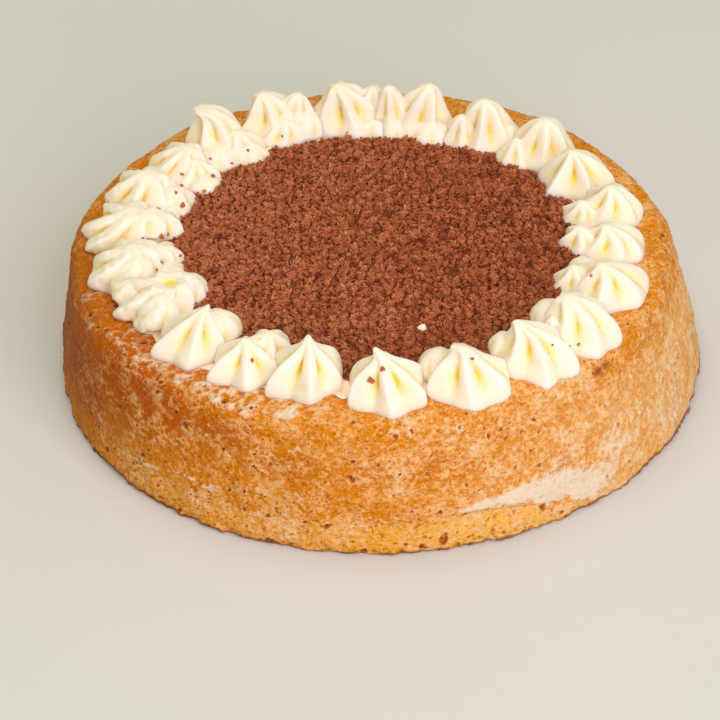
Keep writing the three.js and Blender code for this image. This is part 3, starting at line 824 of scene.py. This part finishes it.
def cream_material(name, ridges, glow):
    """Whipped cream: matt white ridges with a soft glow, and painted shade: yellow where light is lost in the
    grooves.
    """
    material, tree, shader = new_material(name)
    where = add_node(tree, "ShaderNodeTexCoord").outputs["Object"]
    groove = add_node(tree, "ShaderNodeAttribute", attribute_name="groove").outputs["Fac"]
    cloud, grain = (
        add_node(tree, "ShaderNodeTexNoise",
                 {"Vector": where, "Scale": per_mm(size), "Detail": 2.0}).outputs["Fac"] for size in (7, 1.1))
    drift = add_node(tree, "ShaderNodeMapRange",
                     {"Value": cloud, "From Min": 0.4, "From Max": 0.8, "To Max": 0.08}).outputs[0]
    # Painted shade: a soft yellow over the valleys and a stronger one in the slits, on top of a random drift
    # of tone.
    soft = add_node(tree, "ShaderNodeMath", {0: groove, 1: 0.37}, operation="MINIMUM").outputs[0]
    slit = add_node(tree, "ShaderNodeMapRange",
                    {"Value": groove, "From Min": 0.5, "From Max": 0.95, "To Max": 0.63},
                    interpolation_type="SMOOTHSTEP").outputs[0]
    deep_and_shade = add_node(tree, "ShaderNodeMath", {0: soft, 1: drift}, operation="ADD").outputs[0]
    deep_and_shade = add_node(tree, "ShaderNodeMath", {0: deep_and_shade, 1: slit}, operation="ADD", use_clamp=True).outputs[0]
    base = add_node(tree, "ShaderNodeMix", {0: deep_and_shade, 6: rgba(ridges), 7: rgba(colours().cream_groove_shade)},
                    data_type="RGBA").outputs[2]
    bumps = add_node(tree, "ShaderNodeBump",
                     {"Height": grain, "Strength": 0.08, "Distance": 0.3 * MM}).outputs[0]
    set_inputs(tree, shader, {
        "Base Color": base, "Normal": bumps, "Roughness": 0.42, "IOR": 1.38, "Specular IOR Level": 0.3,
        "Subsurface Weight": glow, "Subsurface Radius": (1.0, 0.95, 0.8), "Subsurface Scale": 3.2 * MM})
    return material


class CAKE_OT_cream_coat(bpy.types.Operator):
    """Model the thin coat of cream under the stars and the chocolate"""

    bl_idname = "cake.cream_coat"
    bl_label = "Cream coat"

    def execute(self, context):
        deselect()
        source = bpy.data.objects["cream_layer"]
        piece = bpy.data.objects.new("cream_coat", source.data.copy())
        context.collection.objects.link(piece)
        only(piece)
        edit_all()
        bpy.ops.mesh.remove_doubles(threshold=0.01 * MM)
        bpy.ops.mesh.tris_convert_to_quads(face_threshold=math.radians(40), shape_threshold=math.radians(40))
        bpy.ops.object.mode_set(mode="OBJECT")
        apply_modifier(piece, "SUBSURF", levels=3, render_levels=3)
        mesh = piece.data
        points = points_of(mesh)
        top = smooth_step(COAT_TOP - 1.2 * MM, COAT_TOP, points[:, 2])
        swirl = 0.35 * MM * ripple(points, 14, 2.2) + 0.15 * MM * ripple(points, 4, 6.1)
        under = np.hypot(points[:, 0] - HEAP_CENTRE.x, points[:, 1] - HEAP_CENTRE.y)
        dip = 0.5 * MM * smooth_step(HEAP_RADIUS + 2 * MM, HEAP_RADIUS - 5 * MM, under)
        points[:, 2] = points[:, 2] + top * (np.minimum(swirl, 0.2 * MM) - dip)
        off = points[:, :2] - np.array(COAT_CENTRE)
        reach = np.hypot(*off.T)
        behind = np.interp(np.degrees(np.arctan2(off[:, 1], off[:, 0])), (20, 45, 105, 130), (0, 4, 4, 0))
        ragged = 2.2 + 2.6 * ripple(points, 9, 7.3) + 1.2 * ripple(points, 3, 1.3) + behind
        outer = smooth_step(74 * MM, 90 * MM, reach)
        drawn_in = 1 - outer * ragged * MM / np.maximum(reach, 1 * MM)
        points[:, :2] = np.array(COAT_CENTRE) + off * drawn_in[:, None]
        over = points[:, 2] - SPONGE_TOP
        points[:, 2] = points[:, 2] - over * 0.45 * smooth_step(82 * MM, 91 * MM, reach)
        move_points(mesh, points)
        deselect()
        bpy.ops.mesh.primitive_uv_sphere_add(
            segments=16, ring_count=10, radius=BARE_SPOT_RADIUS, location=(*BARE_SPOT, COAT_TOP + 1.3 * MM))
        dab = context.object
        bpy.ops.transform.resize(value=(1.0, 0.7, 1.0))
        bpy.ops.object.transform_apply(location=True, rotation=True, scale=True)
        dab_points = points_of(dab.data)
        dab_points = dab_points + 0.6 * MM * ripple(dab_points, 1.4, 4.4)[:, None] * np.array((1, 1, 0.4))
        move_points(dab.data, dab_points)
        piece.select_set(True)
        context.view_layer.objects.active = piece
        bpy.ops.object.join()
        # The coat takes a faint even share of the yellow that is painted into the grooves as shade.
        store(mesh, "groove", np.full(len(mesh.vertices), 0.05))
        smooth_faces(mesh)
        # So thin a coat lets no glow build up in it.
        material = cream_material("spread_whipped_cream", colours().cream_coat, 0)
        finish_piece(piece, "cream_coat", material, ("cream_layer",))
        return {"FINISHED"}


def star_master(form):
    """A round stack of rings, drawn up level by level, that every star of a form is shaped from."""
    deselect()
    bpy.ops.mesh.primitive_circle_add(vertices=LOBES * LOBE_STEPS, radius=form.girth[0], fill_type="NGON")
    master = bpy.context.object
    edit_all()
    for step in range(1, len(LEVELS)):
        bpy.ops.mesh.extrude_region_move(
            TRANSFORM_OT_translate={"value": (0, 0, LEVELS[step] - LEVELS[step - 1])})
        share = form.girth[step] / form.girth[step - 1]
        bpy.ops.transform.resize(value=(share, share, 1), center_override=(0, 0, LEVELS[step]))
    open_caps()
    return master


def star_centre(star):
    """The middle of a star's foot, seen from above."""
    turn = math.radians(star.at)
    return RING_CENTRE + star.ring * MM * Vector((math.cos(turn), math.sin(turn)))


def fold_centre(star, fold):
    """The middle of a fold's foot, seen from above."""
    turn = math.radians(fold.bearing)
    return star_centre(star) + fold.out * star.foot * MM * Vector((math.cos(turn), math.sin(turn)))


def shape_star(master, star, bed, draw, base=None, lift=0.0):
    """A copy of the master shaped as one star, with lobes, slits, twist, lean, tip and a settled foot."""
    piece = bpy.data.objects.new("star", master.data.copy())
    bpy.context.collection.objects.link(piece)
    points = points_of(piece.data)
    rise = points[:, 2]
    turn = np.degrees(np.arctan2(points[:, 1], points[:, 0]))
    girth = np.hypot(points[:, 0], points[:, 1])
    groove = np.interp(rise, LEVELS, star.form.groove) * sizes().groove_depth
    sharp = np.interp(rise, LEVELS, star.form.sharp)
    step = 360 / LOBES
    lobe = np.floor((turn + step / 2) / step).astype(int) % LOBES
    gap = np.floor(turn / step).astype(int) % LOBES
    off = (turn + step / 2) % step - step / 2
    size_of = 1 + star.uneven * (2 * draw.random(LOBES) - 1)
    slide_of = 60 * star.uneven * (2 * draw.random(LOBES) - 1)
    depth_of = 0.75 + 0.5 * draw.random(LOBES)
    if star.lobes:
        size_of = np.array(star.lobes)
    crest = 1 - np.abs(off) / (step / 2)
    ridge = np.maximum(crest, 1e-6) ** sharp
    valley = 1 - ridge
    middle = np.exp(-((rise - SLIT_LEVEL) / SLIT_SPREAD) ** 2)
    slit = np.exp(-(crest / SLIT_WIDTH) ** 2) * middle * depth_of[gap]
    low = 1 - smooth_step(0.5, 1.0, rise)
    radius = girth * star.foot * MM * (1 - groove * depth_of[gap] * valley - 1.2 * groove ** 2 * slit)
    radius = radius * (1 + (size_of[lobe] - 1) * ridge * low)
    radius = radius * (1 + star.flare * (1 - smooth_step(0.05, 0.42, rise)))
    facing = np.radians(turn + star.ridge + star.twist * rise + slide_of[lobe] * ridge * low)
    centre = star_centre(star) if base is None else base
    tip = smooth_step(0.72, 1.0, rise)
    lean_x = star.lean[0] * rise ** 2 + star.curl[0] * tip
    lean_y = star.lean[1] * rise ** 2 + star.curl[1] * tip
    x = centre.x + radius * np.cos(facing) + lean_x * MM
    y = centre.y + radius * np.sin(facing) + lean_y * MM
    z = COAT_TOP + lift + star.tall * MM * rise - star.hook * MM * smooth_step(0.88, 1.0, rise)
    across = star.slant[0] * np.cos(facing) + star.slant[1] * np.sin(facing)
    z = z - across * rise ** 2 * radius / (0.6 * star.foot)
    if lift < 0.5 * MM:
        sag = np.array([max((height_at(bed, u, v) or 0) - COAT_TOP, -5 * MM) for u, v in zip(x, y)])
        z = z + sag * np.clip(1 - rise / 0.42, 0, 1) ** 1.4 - 1.3 * MM * np.clip(1 - rise / 0.10, 0, 1)
    move_points(piece.data, np.stack([x, y, z], axis=1))
    # Painted shade: yellow in the valleys, the slits and the hollow of a hooked top, where light is lost.
    hollow_shade = smooth_step(0.95, 1.0, rise) * (star.form is ROSETTE and star.hook > 0)
    shade = 0.15 * valley + 0.17 * valley ** 1.5 * middle + 1.3 * slit * np.clip(groove / 0.45, 0, 1)
    store(piece.data, "groove", np.clip(np.maximum(shade, hollow_shade), 0, 1))
    apply_modifier(piece, "SUBSURF", levels=2, render_levels=2)
    close_caps(piece)
    return piece


def melt(piece):
    """Run the folds of a star together into one skin, and give that skin the painted groove shade of the
    folds.
    """
    points = points_of(piece.data)
    grooves = np.empty(len(points), dtype=np.float32)
    piece.data.attributes["groove"].data.foreach_get("value", grooves)
    tree = nearest_tree(points)
    apply_modifier(piece, "REMESH", mode="VOXEL", voxel_size=MELT_GRAIN)
    apply_modifier(piece, "SMOOTH", factor=0.5, iterations=2)
    store(piece.data, "groove", [grooves[tree.find(p)[1]] for p in points_of(piece.data)])


class CAKE_OT_cream_stars(bpy.types.Operator):
    """Pipe the ring of cream stars"""

    bl_idname = "cake.cream_stars"
    bl_label = "Cream stars"

    def execute(self, context):
        draw = np.random.default_rng(STAR_SEED)
        bed = shell_of("sponge", "cream_layer")
        masters = {form: star_master(form) for form in FORMS}
        material = cream_material("piped_whipped_cream", colours().cream, STAR_GLOW)
        for number, star in enumerate(STARS, 1):
            piece = shape_star(masters[star.form], star, bed, draw)
            for fold in star.folds:
                small = star._replace(
                    foot=star.foot * fold.foot, tall=star.tall * fold.tall, lean=fold.lean, form=fold.form,
                    ridge=star.ridge + fold.turn, curl=(0, 0), hook=0, slant=(0, 0), lobes=())
                part = shape_star(masters[fold.form], small, bed, draw, fold_centre(star, fold),
                                  fold.lift * star.tall * MM)
                only(piece)
                part.select_set(True)
                bpy.ops.object.join()
            if star.folds:
                melt(piece)
            mesh = piece.data
            points = points_of(mesh)
            normals = points_of(mesh, "normal")
            rough = 0.30 if star.form is ROSETTE else 0.07
            bumps = 0.30 * MM * ripple(points, 7, number) + rough * MM * ripple(points, 2.6, number + 40)
            move_points(mesh, points + normals * bumps[:, None])
            smooth_faces(mesh)
            finish_piece(piece, f"piped_star_{number:02d}", material, (f"cream_star_{number:02d}",))
        for master in masters.values():
            bpy.data.objects.remove(master)
        return {"FINISHED"}


def chocolate_material():
    """Grated milk chocolate: dull brown flakes of varied tone, some paler, with painted shade in the gaps
    between lumps and painted light on the left of the heap.
    """
    material, tree, shader = new_material("grated_milk_chocolate")
    tint = colours()
    where = add_node(tree, "ShaderNodeTexCoord").outputs["Object"]
    shade = add_node(tree, "ShaderNodeAttribute", attribute_name="shade").outputs["Fac"]
    grain = add_node(tree, "ShaderNodeTexNoise",
                     {"Vector": where, "Scale": per_mm(0.9), "Detail": 2.0}).outputs["Fac"]
    dark, pale = (
        add_node(tree, "ShaderNodeMapRange", {"Value": shade, "From Min": low, "From Max": high}).outputs[0]
        for low, high in ((0.0, 0.5), (0.5, 1.0)))
    base = rgba(tint.chocolate_dark_and_shade)
    for share, colour in ((dark, tint.chocolate), (pale, tint.chocolate_light)):
        base = add_node(tree, "ShaderNodeMix", {0: share, 6: base, 7: rgba(colour)},
                        data_type="RGBA").outputs[2]
    bumps = add_node(tree, "ShaderNodeBump",
                     {"Height": grain, "Strength": 0.3, "Distance": 0.3 * MM}).outputs[0]
    set_inputs(tree, shader, {
        "Base Color": base, "Normal": bumps, "Roughness": 0.6, "IOR": 1.45, "Specular IOR Level": 0.2})
    return material


def inside_star(x, y, share):
    """Whether each place is within this share of the foot of a star or of a fold beside it."""
    taken = np.zeros(len(x), dtype=bool)
    for star in STARS:
        feet = [(star_centre(star), star.foot)]
        feet += [(fold_centre(star, fold), star.foot * fold.foot) for fold in star.folds if fold.lift < 0.2]
        for centre, foot in feet:
            taken |= np.hypot(x - centre.x, y - centre.y) < share * foot * MM
    return taken


LUMP_SPACING = 3.2 * MM


class Lumps:
    """Lumps of chocolate flakes, a few mm apart, with gaps between them."""

    def __init__(self, draw):
        side = int(2.2 * HEAP_RADIUS / LUMP_SPACING)
        grid = np.stack(np.meshgrid(np.arange(side), np.arange(side)), axis=-1).reshape(-1, 2)
        grid = (grid - side / 2 + 0.9 * draw.random(grid.shape)) * LUMP_SPACING + np.array(HEAP_CENTRE)
        self.high = 0.35 + 0.65 * draw.random(len(grid))
        self.tree = nearest_tree(np.column_stack([grid, np.zeros(len(grid))]))

    def at(self, places):
        """How high each place stands on its lump, from 0 in a gap to 1 on the highest lumps."""
        level = np.empty(len(places))
        flat = places * np.array((1, 1, 0))
        across = places[:, 0] + 1.1 * MM * ripple(flat, 2.4, 4.7)
        along = places[:, 1] + 1.1 * MM * ripple(flat, 2.4, 9.1)
        for n in range(len(places)):
            near, far = self.tree.find_n((across[n], along[n], 0), 2)
            level[n] = self.high[near[1]] * min((far[2] - near[2]) / (0.5 * LUMP_SPACING), 1)
        return level


BED_CELLS = 280
BED_RADIUS = HEAP_RADIUS + 1.5 * MM

# How near the bed and the flakes come to the middle of a star, as shares of its foot.
BED_CLEARANCE = 0.78
FLAKE_CLEARANCE = 0.94


def chocolate_bed(source, lumps):
    """The bed under the flakes: a grid cut to the heap's ragged outline, crumbs in relief, a closed base."""
    deselect()
    reach = HEAP_RADIUS + 4 * MM
    bpy.ops.mesh.primitive_grid_add(x_subdivisions=BED_CELLS, y_subdivisions=BED_CELLS, size=2 * reach,
                                    location=(*HEAP_CENTRE, COAT_TOP))
    bed = bpy.context.object
    bpy.ops.object.transform_apply(location=True, rotation=True, scale=True)
    points = points_of(bed.data)
    x, y = points[:, 0], points[:, 1]
    ragged = ripple(points, 9, 2.7) * 2.2 * MM + ripple(points, 3, 9.2) * 1.2 * MM
    inward = BED_RADIUS + ragged - np.hypot(x - HEAP_CENTRE.x, y - HEAP_CENTRE.y)
    keep = (inward > 0) & ~inside_star(x, y, BED_CLEARANCE)
    bpy.ops.object.mode_set(mode="EDIT")
    bpy.ops.mesh.select_all(action="DESELECT")
    bpy.ops.object.mode_set(mode="OBJECT")
    bed.data.vertices.foreach_set("select", ~keep)
    bpy.ops.object.mode_set(mode="EDIT")
    bpy.ops.mesh.delete(type="VERT")
    bpy.ops.mesh.select_all(action="SELECT")
    bpy.ops.mesh.delete_loose()
    bpy.ops.object.mode_set(mode="OBJECT")
    points = points_of(bed.data)
    x, y = points[:, 0], points[:, 1]
    inward = BED_RADIUS - np.hypot(x - HEAP_CENTRE.x, y - HEAP_CENTRE.y)
    heap = np.array([height_at(source, u, v) or 0 for u, v in zip(x, y)])
    heap = np.maximum(heap, COAT_TOP + 0.6 * MM)
    lump = lumps.at(points)
    crumbs = 0.40 * MM * ripple(points, 1.7, 3.3) + 1.5 * MM * (lump - 0.45)
    crumbs = crumbs + 0.4 * MM * ripple(points, 9, 2.3)
    level = COAT_TOP + (heap - COAT_TOP - 0.4 * MM) * smooth_step(0, 3 * MM, inward)
    points[:, 2] = np.maximum(level + crumbs, COAT_TOP + 0.25 * MM)
    move_points(bed.data, points)
    # Painted shade: the bed is darkest in the gaps between the lumps.
    store(bed.data, "shade", 0.04 + 0.44 * smooth_step(0.05, 0.65, lump))
    only(bed)
    bpy.ops.object.mode_set(mode="EDIT")
    bpy.ops.mesh.select_all(action="DESELECT")
    bpy.ops.mesh.select_mode(type="EDGE")
    bpy.ops.mesh.select_non_manifold(extend=False, use_wire=False, use_boundary=True)
    bpy.ops.mesh.extrude_region_move(TRANSFORM_OT_translate={"value": (0, 0, -1 * MM)})
    bpy.ops.transform.resize(value=(1, 1, 0), center_override=(0, 0, COAT_TOP - 0.3 * MM))
    bpy.ops.mesh.edge_face_add()
    bpy.ops.mesh.select_all(action="SELECT")
    bpy.ops.mesh.normals_make_consistent(inside=False)
    bpy.ops.mesh.select_mode(type="VERT")
    bpy.ops.object.mode_set(mode="OBJECT")
    return bed


class Flake(NamedTuple):
    """A kind of chocolate flake: its piece, its form for a length of 1, and how it is strewn."""

    name: str
    parts: int
    width: float
    thick: float
    bend: float
    share: float
    size: float
    tilt: float
    jitter: float


CHIP = Flake("chocolate_chips", parts=1, width=0.75, thick=0.55, bend=0,
             share=0.38, size=0.72, tilt=60, jitter=0.20)
SLIVER = Flake("chocolate_slivers", parts=2, width=0.34, thick=0.2, bend=50,
               share=0.37, size=1.05, tilt=45, jitter=0.08)
CURL = Flake("chocolate_curls", parts=4, width=0.42, thick=0.13, bend=190,
             share=0.22, size=1.2, tilt=60, jitter=0.05)


def flake_master(kind):
    """One flake with a length of 1: a chip, a bent sliver or a curl."""
    deselect()
    if kind is CHIP:
        bpy.ops.mesh.primitive_ico_sphere_add(subdivisions=1, radius=0.5)
    else:
        bpy.ops.mesh.primitive_cube_add(size=1)
    flake = bpy.context.object
    edit_all()
    bpy.ops.transform.resize(value=(1 / kind.parts, kind.width, kind.thick), center_override=(0, 0, 0))
    bpy.ops.transform.translate(value=(0.5 / kind.parts - 0.5, 0, 0))
    bpy.ops.mesh.select_all(action="DESELECT")
    bpy.ops.object.mode_set(mode="OBJECT")
    for face in flake.data.polygons:
        face.select = face.normal.x > 0.9
    bpy.ops.object.mode_set(mode="EDIT")
    for _ in range(kind.parts - 1):
        bpy.ops.mesh.extrude_region_move(TRANSFORM_OT_translate={"value": (1 / kind.parts, 0, 0)})
    bpy.ops.object.mode_set(mode="OBJECT")
    points = points_of(flake.data)
    if kind.bend:
        curve = math.radians(kind.bend)
        turn = points[:, 0] * curve
        spread = 1 / curve - points[:, 2]
        points[:, 0] = spread * np.sin(turn)
        points[:, 2] = 1 / curve - spread * np.cos(turn)
    points[:, 0] -= points[:, 0].mean()
    points[:, 2] -= points[:, 2].mean()
    move_points(flake.data, points)
    faces = [tuple(face.vertices) for face in flake.data.polygons]
    bpy.data.objects.remove(flake)
    return points, faces


def turned(draw, count, tilt):
    """Matrices that turn flakes any way round and tilt them up to this many degrees."""
    yaw = draw.random(count) * 2 * np.pi
    pitch = np.radians(tilt) * (2 * draw.random(count) - 1)
    roll = np.radians(tilt) * (2 * draw.random(count) - 1)
    matrices = np.empty((count, 3, 3))
    for k in range(count):
        matrices[k] = (Matrix.Rotation(yaw[k], 3, "Z") @ Matrix.Rotation(pitch[k], 3, "Y")
                       @ Matrix.Rotation(roll[k], 3, "X"))
    return matrices


def scatter(kind, places, matrices, sizes_of, shades, jitter, draw):
    """Copies of one kind of flake in one mesh, each with its corners shifted a little."""
    shape, faces = flake_master(kind)
    count = len(places)
    shapes = shape[None] * sizes_of[:, None, :]
    shapes = shapes + jitter * sizes_of[:, None, :1] * (2 * draw.random((count, len(shape), 3)) - 1)
    points = np.einsum("nij,nkj->nki", matrices, shapes) + places[:, None, :]
    starts = (np.arange(count) * len(shape))[:, None, None]
    corners = np.array(faces)[None] + starts
    mesh = bpy.data.meshes.new("flakes")
    mesh.from_pydata(points.reshape(-1, 3).tolist(), [], corners.reshape(-1, corners.shape[-1]).tolist())
    mesh.update()
    store(mesh, "shade", np.repeat(shades, len(shape)))
    piece = bpy.data.objects.new("flakes", mesh)
    bpy.context.collection.objects.link(piece)
    return piece


class CAKE_OT_grated_chocolate(bpy.types.Operator):
    """Lay the bed of grated chocolate and the loose flakes on it"""

    bl_idname = "cake.grated_chocolate"
    bl_label = "Grated chocolate"

    def execute(self, context):
        draw = np.random.default_rng(FLAKE_SEED)
        material = chocolate_material()
        lumps = Lumps(draw)
        bed = chocolate_bed(shell_of("grated_chocolate", "cream_layer"), lumps)
        finish_piece(bed, "chocolate_bed", material, ("grated_chocolate",))
        ground = shell_of("chocolate_bed", "cream_coat")
        for kind in (CHIP, SLIVER, CURL):
            count = int(sizes().flake_count * kind.share)
            spread = STRAY_RADIUS * np.sqrt(draw.random(3 * count))
            turn = draw.random(3 * count) * 2 * np.pi
            x = HEAP_CENTRE.x + spread * np.cos(turn)
            y = HEAP_CENTRE.y + spread * np.sin(turn)
            places = np.stack([x, y, np.zeros_like(x)], axis=1)
            reach = spread + 1.5 * MM * ripple(places, 7, 4.2)
            thin = smooth_step(STRAY_RADIUS, HEAP_RADIUS - 1 * MM, reach)
            heaped = 0.10 + 0.90 * smooth_step(0.08, 0.5, lumps.at(places))
            good = (draw.random(len(x)) < thin * heaped) & ~inside_star(x, y, FLAKE_CLEARANCE)
            good &= np.hypot(x - BARE_SPOT.x, y - BARE_SPOT.y) > BARE_SPOT_RADIUS
            places = places[good][:count]
            count = len(places)
            lump = lumps.at(places)
            high = np.array([height_at(ground, u, v) or COAT_TOP for u, v in places[:, :2]])
            length = sizes().flake_length * kind.size * (0.65 + 0.8 * draw.random(count) ** 1.6)
            lift = (0.15 + 0.35 * draw.random(count)) * MM
            places[:, 2] = high + lift
            sizes_of = length[:, None] * (0.8 + 0.4 * draw.random((count, 3)))
            # Painted shade and light: flakes low in their gaps are darker, and the heap is paler on the left
            # than on the right.
            painted_light_across = (places[:, 0] - HEAP_CENTRE.x) / HEAP_RADIUS
            shades = 0.28 + 0.44 * lump - 0.10 * painted_light_across + 0.12 * draw.standard_normal(count)
            turns = turned(draw, count, kind.tilt)
            piece = scatter(kind, places, turns, sizes_of, np.clip(shades, 0.05, 1), kind.jitter, draw)
            finish_piece(piece, kind.name, material)
        return {"FINISHED"}


class CAKE_OT_flecks(bpy.types.Operator):
    """Drop the stray flecks of chocolate on the stars"""

    bl_idname = "cake.flecks"
    bl_label = "Flecks on the stars"

    def execute(self, context):
        draw = np.random.default_rng(FLECK_SEED)
        places = []
        turns = []
        lengths = []
        for number, bearing, rise, size in FLECKS:
            star = STARS[number - 1]
            tree = shell_of(f"piped_star_{number:02d}")
            way = Vector((math.cos(math.radians(bearing)), math.sin(math.radians(bearing)), 0))
            axis = star_centre(star)
            lean = Vector((star.lean[0], star.lean[1])) * MM * rise ** 2
            inside = Vector((axis.x + lean.x, axis.y + lean.y, COAT_TOP + rise * star.tall * MM))
            place, normal, _, _ = tree.ray_cast(inside + way * 60 * MM, -way)
            if place is None:
                raise RuntimeError(f"fleck on star {number} at {bearing} misses it")
            upright = normal.to_track_quat("Z", "Y").to_matrix()
            turn = Matrix.Rotation(draw.random() * 2 * math.pi, 3, "Z")
            places.append(place + normal * 0.1 * size * MM)
            turns.append(np.array(upright @ turn))
            lengths.append(size * MM * np.array((1, 1, 0.9)))
        count = len(places)
        shades = 0.45 + 0.25 * draw.random(count)
        piece = scatter(
            CHIP, np.array(places), np.array(turns), np.array(lengths), shades, FLECK_JITTER, draw)
        material = bpy.data.materials.get("grated_milk_chocolate") or chocolate_material()
        finish_piece(piece, "chocolate_flecks", material)
        return {"FINISHED"}


def floor_material():
    """Painted board: plain, pale and matt, with the faintest unevenness."""
    material, tree, shader = new_material("pale_painted_floor")
    where = add_node(tree, "ShaderNodeTexCoord").outputs["Object"]
    cloud = add_node(tree, "ShaderNodeTexNoise",
                     {"Vector": where, "Scale": per_mm(90), "Detail": 3.0}).outputs["Fac"]
    tone = add_node(tree, "ShaderNodeMapRange", {"Value": cloud, "To Min": 0.0, "To Max": 0.12}).outputs[0]
    pale = rgba(colours().floor)
    dim = tuple(0.8 * c for c in pale[:3]) + (1.0,)
    base = add_node(tree, "ShaderNodeMix", {0: tone, 6: pale, 7: dim}, data_type="RGBA").outputs[2]
    set_inputs(tree, shader, {"Base Color": base, "Roughness": 0.7})
    return material


# The studio, in metres and watts.
FLOOR_SIZE = 6
FLOOR_DROP = 0.2 * MM
SKY_COLOUR = "FCF6BE"
SKY_STRENGTH = 0.40
LIT_POINT = Vector((0, 0, 40 * MM))
KEY_PLACE, KEY_SIZE, KEY_POWER, KEY_COLOUR = (0.50, -1.25, 0.95), 1.4, 24.4, "F4ECFF"
TOP_PLACE, TOP_SIZE, TOP_POWER, TOP_COLOUR = (-0.25, 0.30, 1.5), 1.0, 7, "FFFDF8"


def area_light(name, place, target, size, power, colour):
    """A soft square light that looks at a target."""
    data = bpy.data.lights.new(name, "AREA")
    data.shape = "SQUARE"
    data.size = size
    data.energy = power
    data.color = colour
    light = bpy.data.objects.new(name, data)
    light.location = place
    light.rotation_euler = (target - Vector(place)).to_track_quat("-Z", "Y").to_euler()
    bpy.context.collection.objects.link(light)


class CAKE_OT_stage(bpy.types.Operator):
    """Set the floor, the soft studio light and the camera"""

    bl_idname = "cake.stage"
    bl_label = "Stage"

    def execute(self, context):
        deselect()
        bpy.ops.mesh.primitive_plane_add(size=FLOOR_SIZE, location=(0, 0, -FLOOR_DROP))
        floor = context.object
        bpy.ops.object.transform_apply(location=True, rotation=True, scale=True)
        bpy.ops.object.mode_set(mode="EDIT")
        bpy.ops.mesh.subdivide(number_cuts=5)
        bpy.ops.object.mode_set(mode="OBJECT")
        floor.name = "floor"
        floor.data.materials.append(floor_material())
        world = bpy.data.worlds.new("studio")
        world.use_nodes = True
        sky = world.node_tree.nodes["Background"]
        sky.inputs["Color"].default_value = rgba(linear(SKY_COLOUR))
        sky.inputs["Strength"].default_value = SKY_STRENGTH
        context.scene.world = world
        area_light("key", KEY_PLACE, LIT_POINT, KEY_SIZE, KEY_POWER, linear(KEY_COLOUR))
        area_light("top", TOP_PLACE, LIT_POINT, TOP_SIZE, TOP_POWER, linear(TOP_COLOUR))
        context.scene.view_settings.view_transform = "Standard"
        context.scene.camera = self.add_camera(context)
        return {"FINISHED"}

    def add_camera(self, context):
        """A camera where the picture was taken from, turned a little off the middle of the cake."""
        up_angle = math.radians(CAMERA_ELEVATION)
        back = Vector((0, -math.cos(up_angle), math.sin(up_angle)))
        ahead, right = -back, Vector((1, 0, 0))
        up = right.cross(ahead)
        across = math.cos(CAMERA_YAW) * right + math.sin(CAMERA_YAW) * ahead
        ahead = -math.sin(CAMERA_YAW) * right + math.cos(CAMERA_YAW) * ahead
        above = math.cos(CAMERA_TILT) * up + math.sin(CAMERA_TILT) * ahead
        ahead = -math.sin(CAMERA_TILT) * up + math.cos(CAMERA_TILT) * ahead
        side = math.cos(CAMERA_ROLL) * across - math.sin(CAMERA_ROLL) * above
        top = math.sin(CAMERA_ROLL) * across + math.cos(CAMERA_ROLL) * above
        data = bpy.data.cameras.new("camera")
        data.lens = CAMERA_LENS
        data.sensor_width = CAMERA_SENSOR
        camera = bpy.data.objects.new("camera", data)
        turn = Matrix((side, top, -ahead)).transposed()
        camera.matrix_world = Matrix.Translation(CAMERA_TARGET + back * CAMERA_DISTANCE) @ turn.to_4x4()
        context.collection.objects.link(camera)
        return camera


class CAKE_PT_panel(bpy.types.Panel):
    """The cake's sizes, colours and pieces."""

    bl_label = "Tres leches cake"
    bl_idname = "CAKE_PT_panel"
    bl_space_type = "VIEW_3D"
    bl_region_type = "UI"
    bl_category = "Cake"

    def draw(self, context):
        for group in (context.scene.cake_sizes, context.scene.cake_colours):
            box = self.layout.box()
            for name in group.__annotations__:
                box.prop(group, name)
        for step in STEPS:
            self.layout.operator(step.bl_idname)


STEPS = (
    CAKE_OT_stage,
    CAKE_OT_sponge,
    CAKE_OT_cream_coat,
    CAKE_OT_cream_stars,
    CAKE_OT_grated_chocolate,
    CAKE_OT_flecks,
)
CLASSES = (CakeSizes, CakeColours, *STEPS, CAKE_PT_panel)


def register():
    for part in CLASSES:
        bpy.utils.register_class(part)
    bpy.types.Scene.cake_sizes = bpy.props.PointerProperty(type=CakeSizes)
    bpy.types.Scene.cake_colours = bpy.props.PointerProperty(type=CakeColours)


def unregister():
    del bpy.types.Scene.cake_colours
    del bpy.types.Scene.cake_sizes
    for part in reversed(CLASSES):
        bpy.utils.unregister_class(part)


def main():
    register()
    bpy.ops.cake.stage()
    bpy.ops.cake.sponge()
    bpy.ops.cake.cream_coat()
    bpy.ops.cake.cream_stars()
    bpy.ops.cake.grated_chocolate()
    bpy.ops.cake.flecks()


if __name__ == "__main__":
    main()
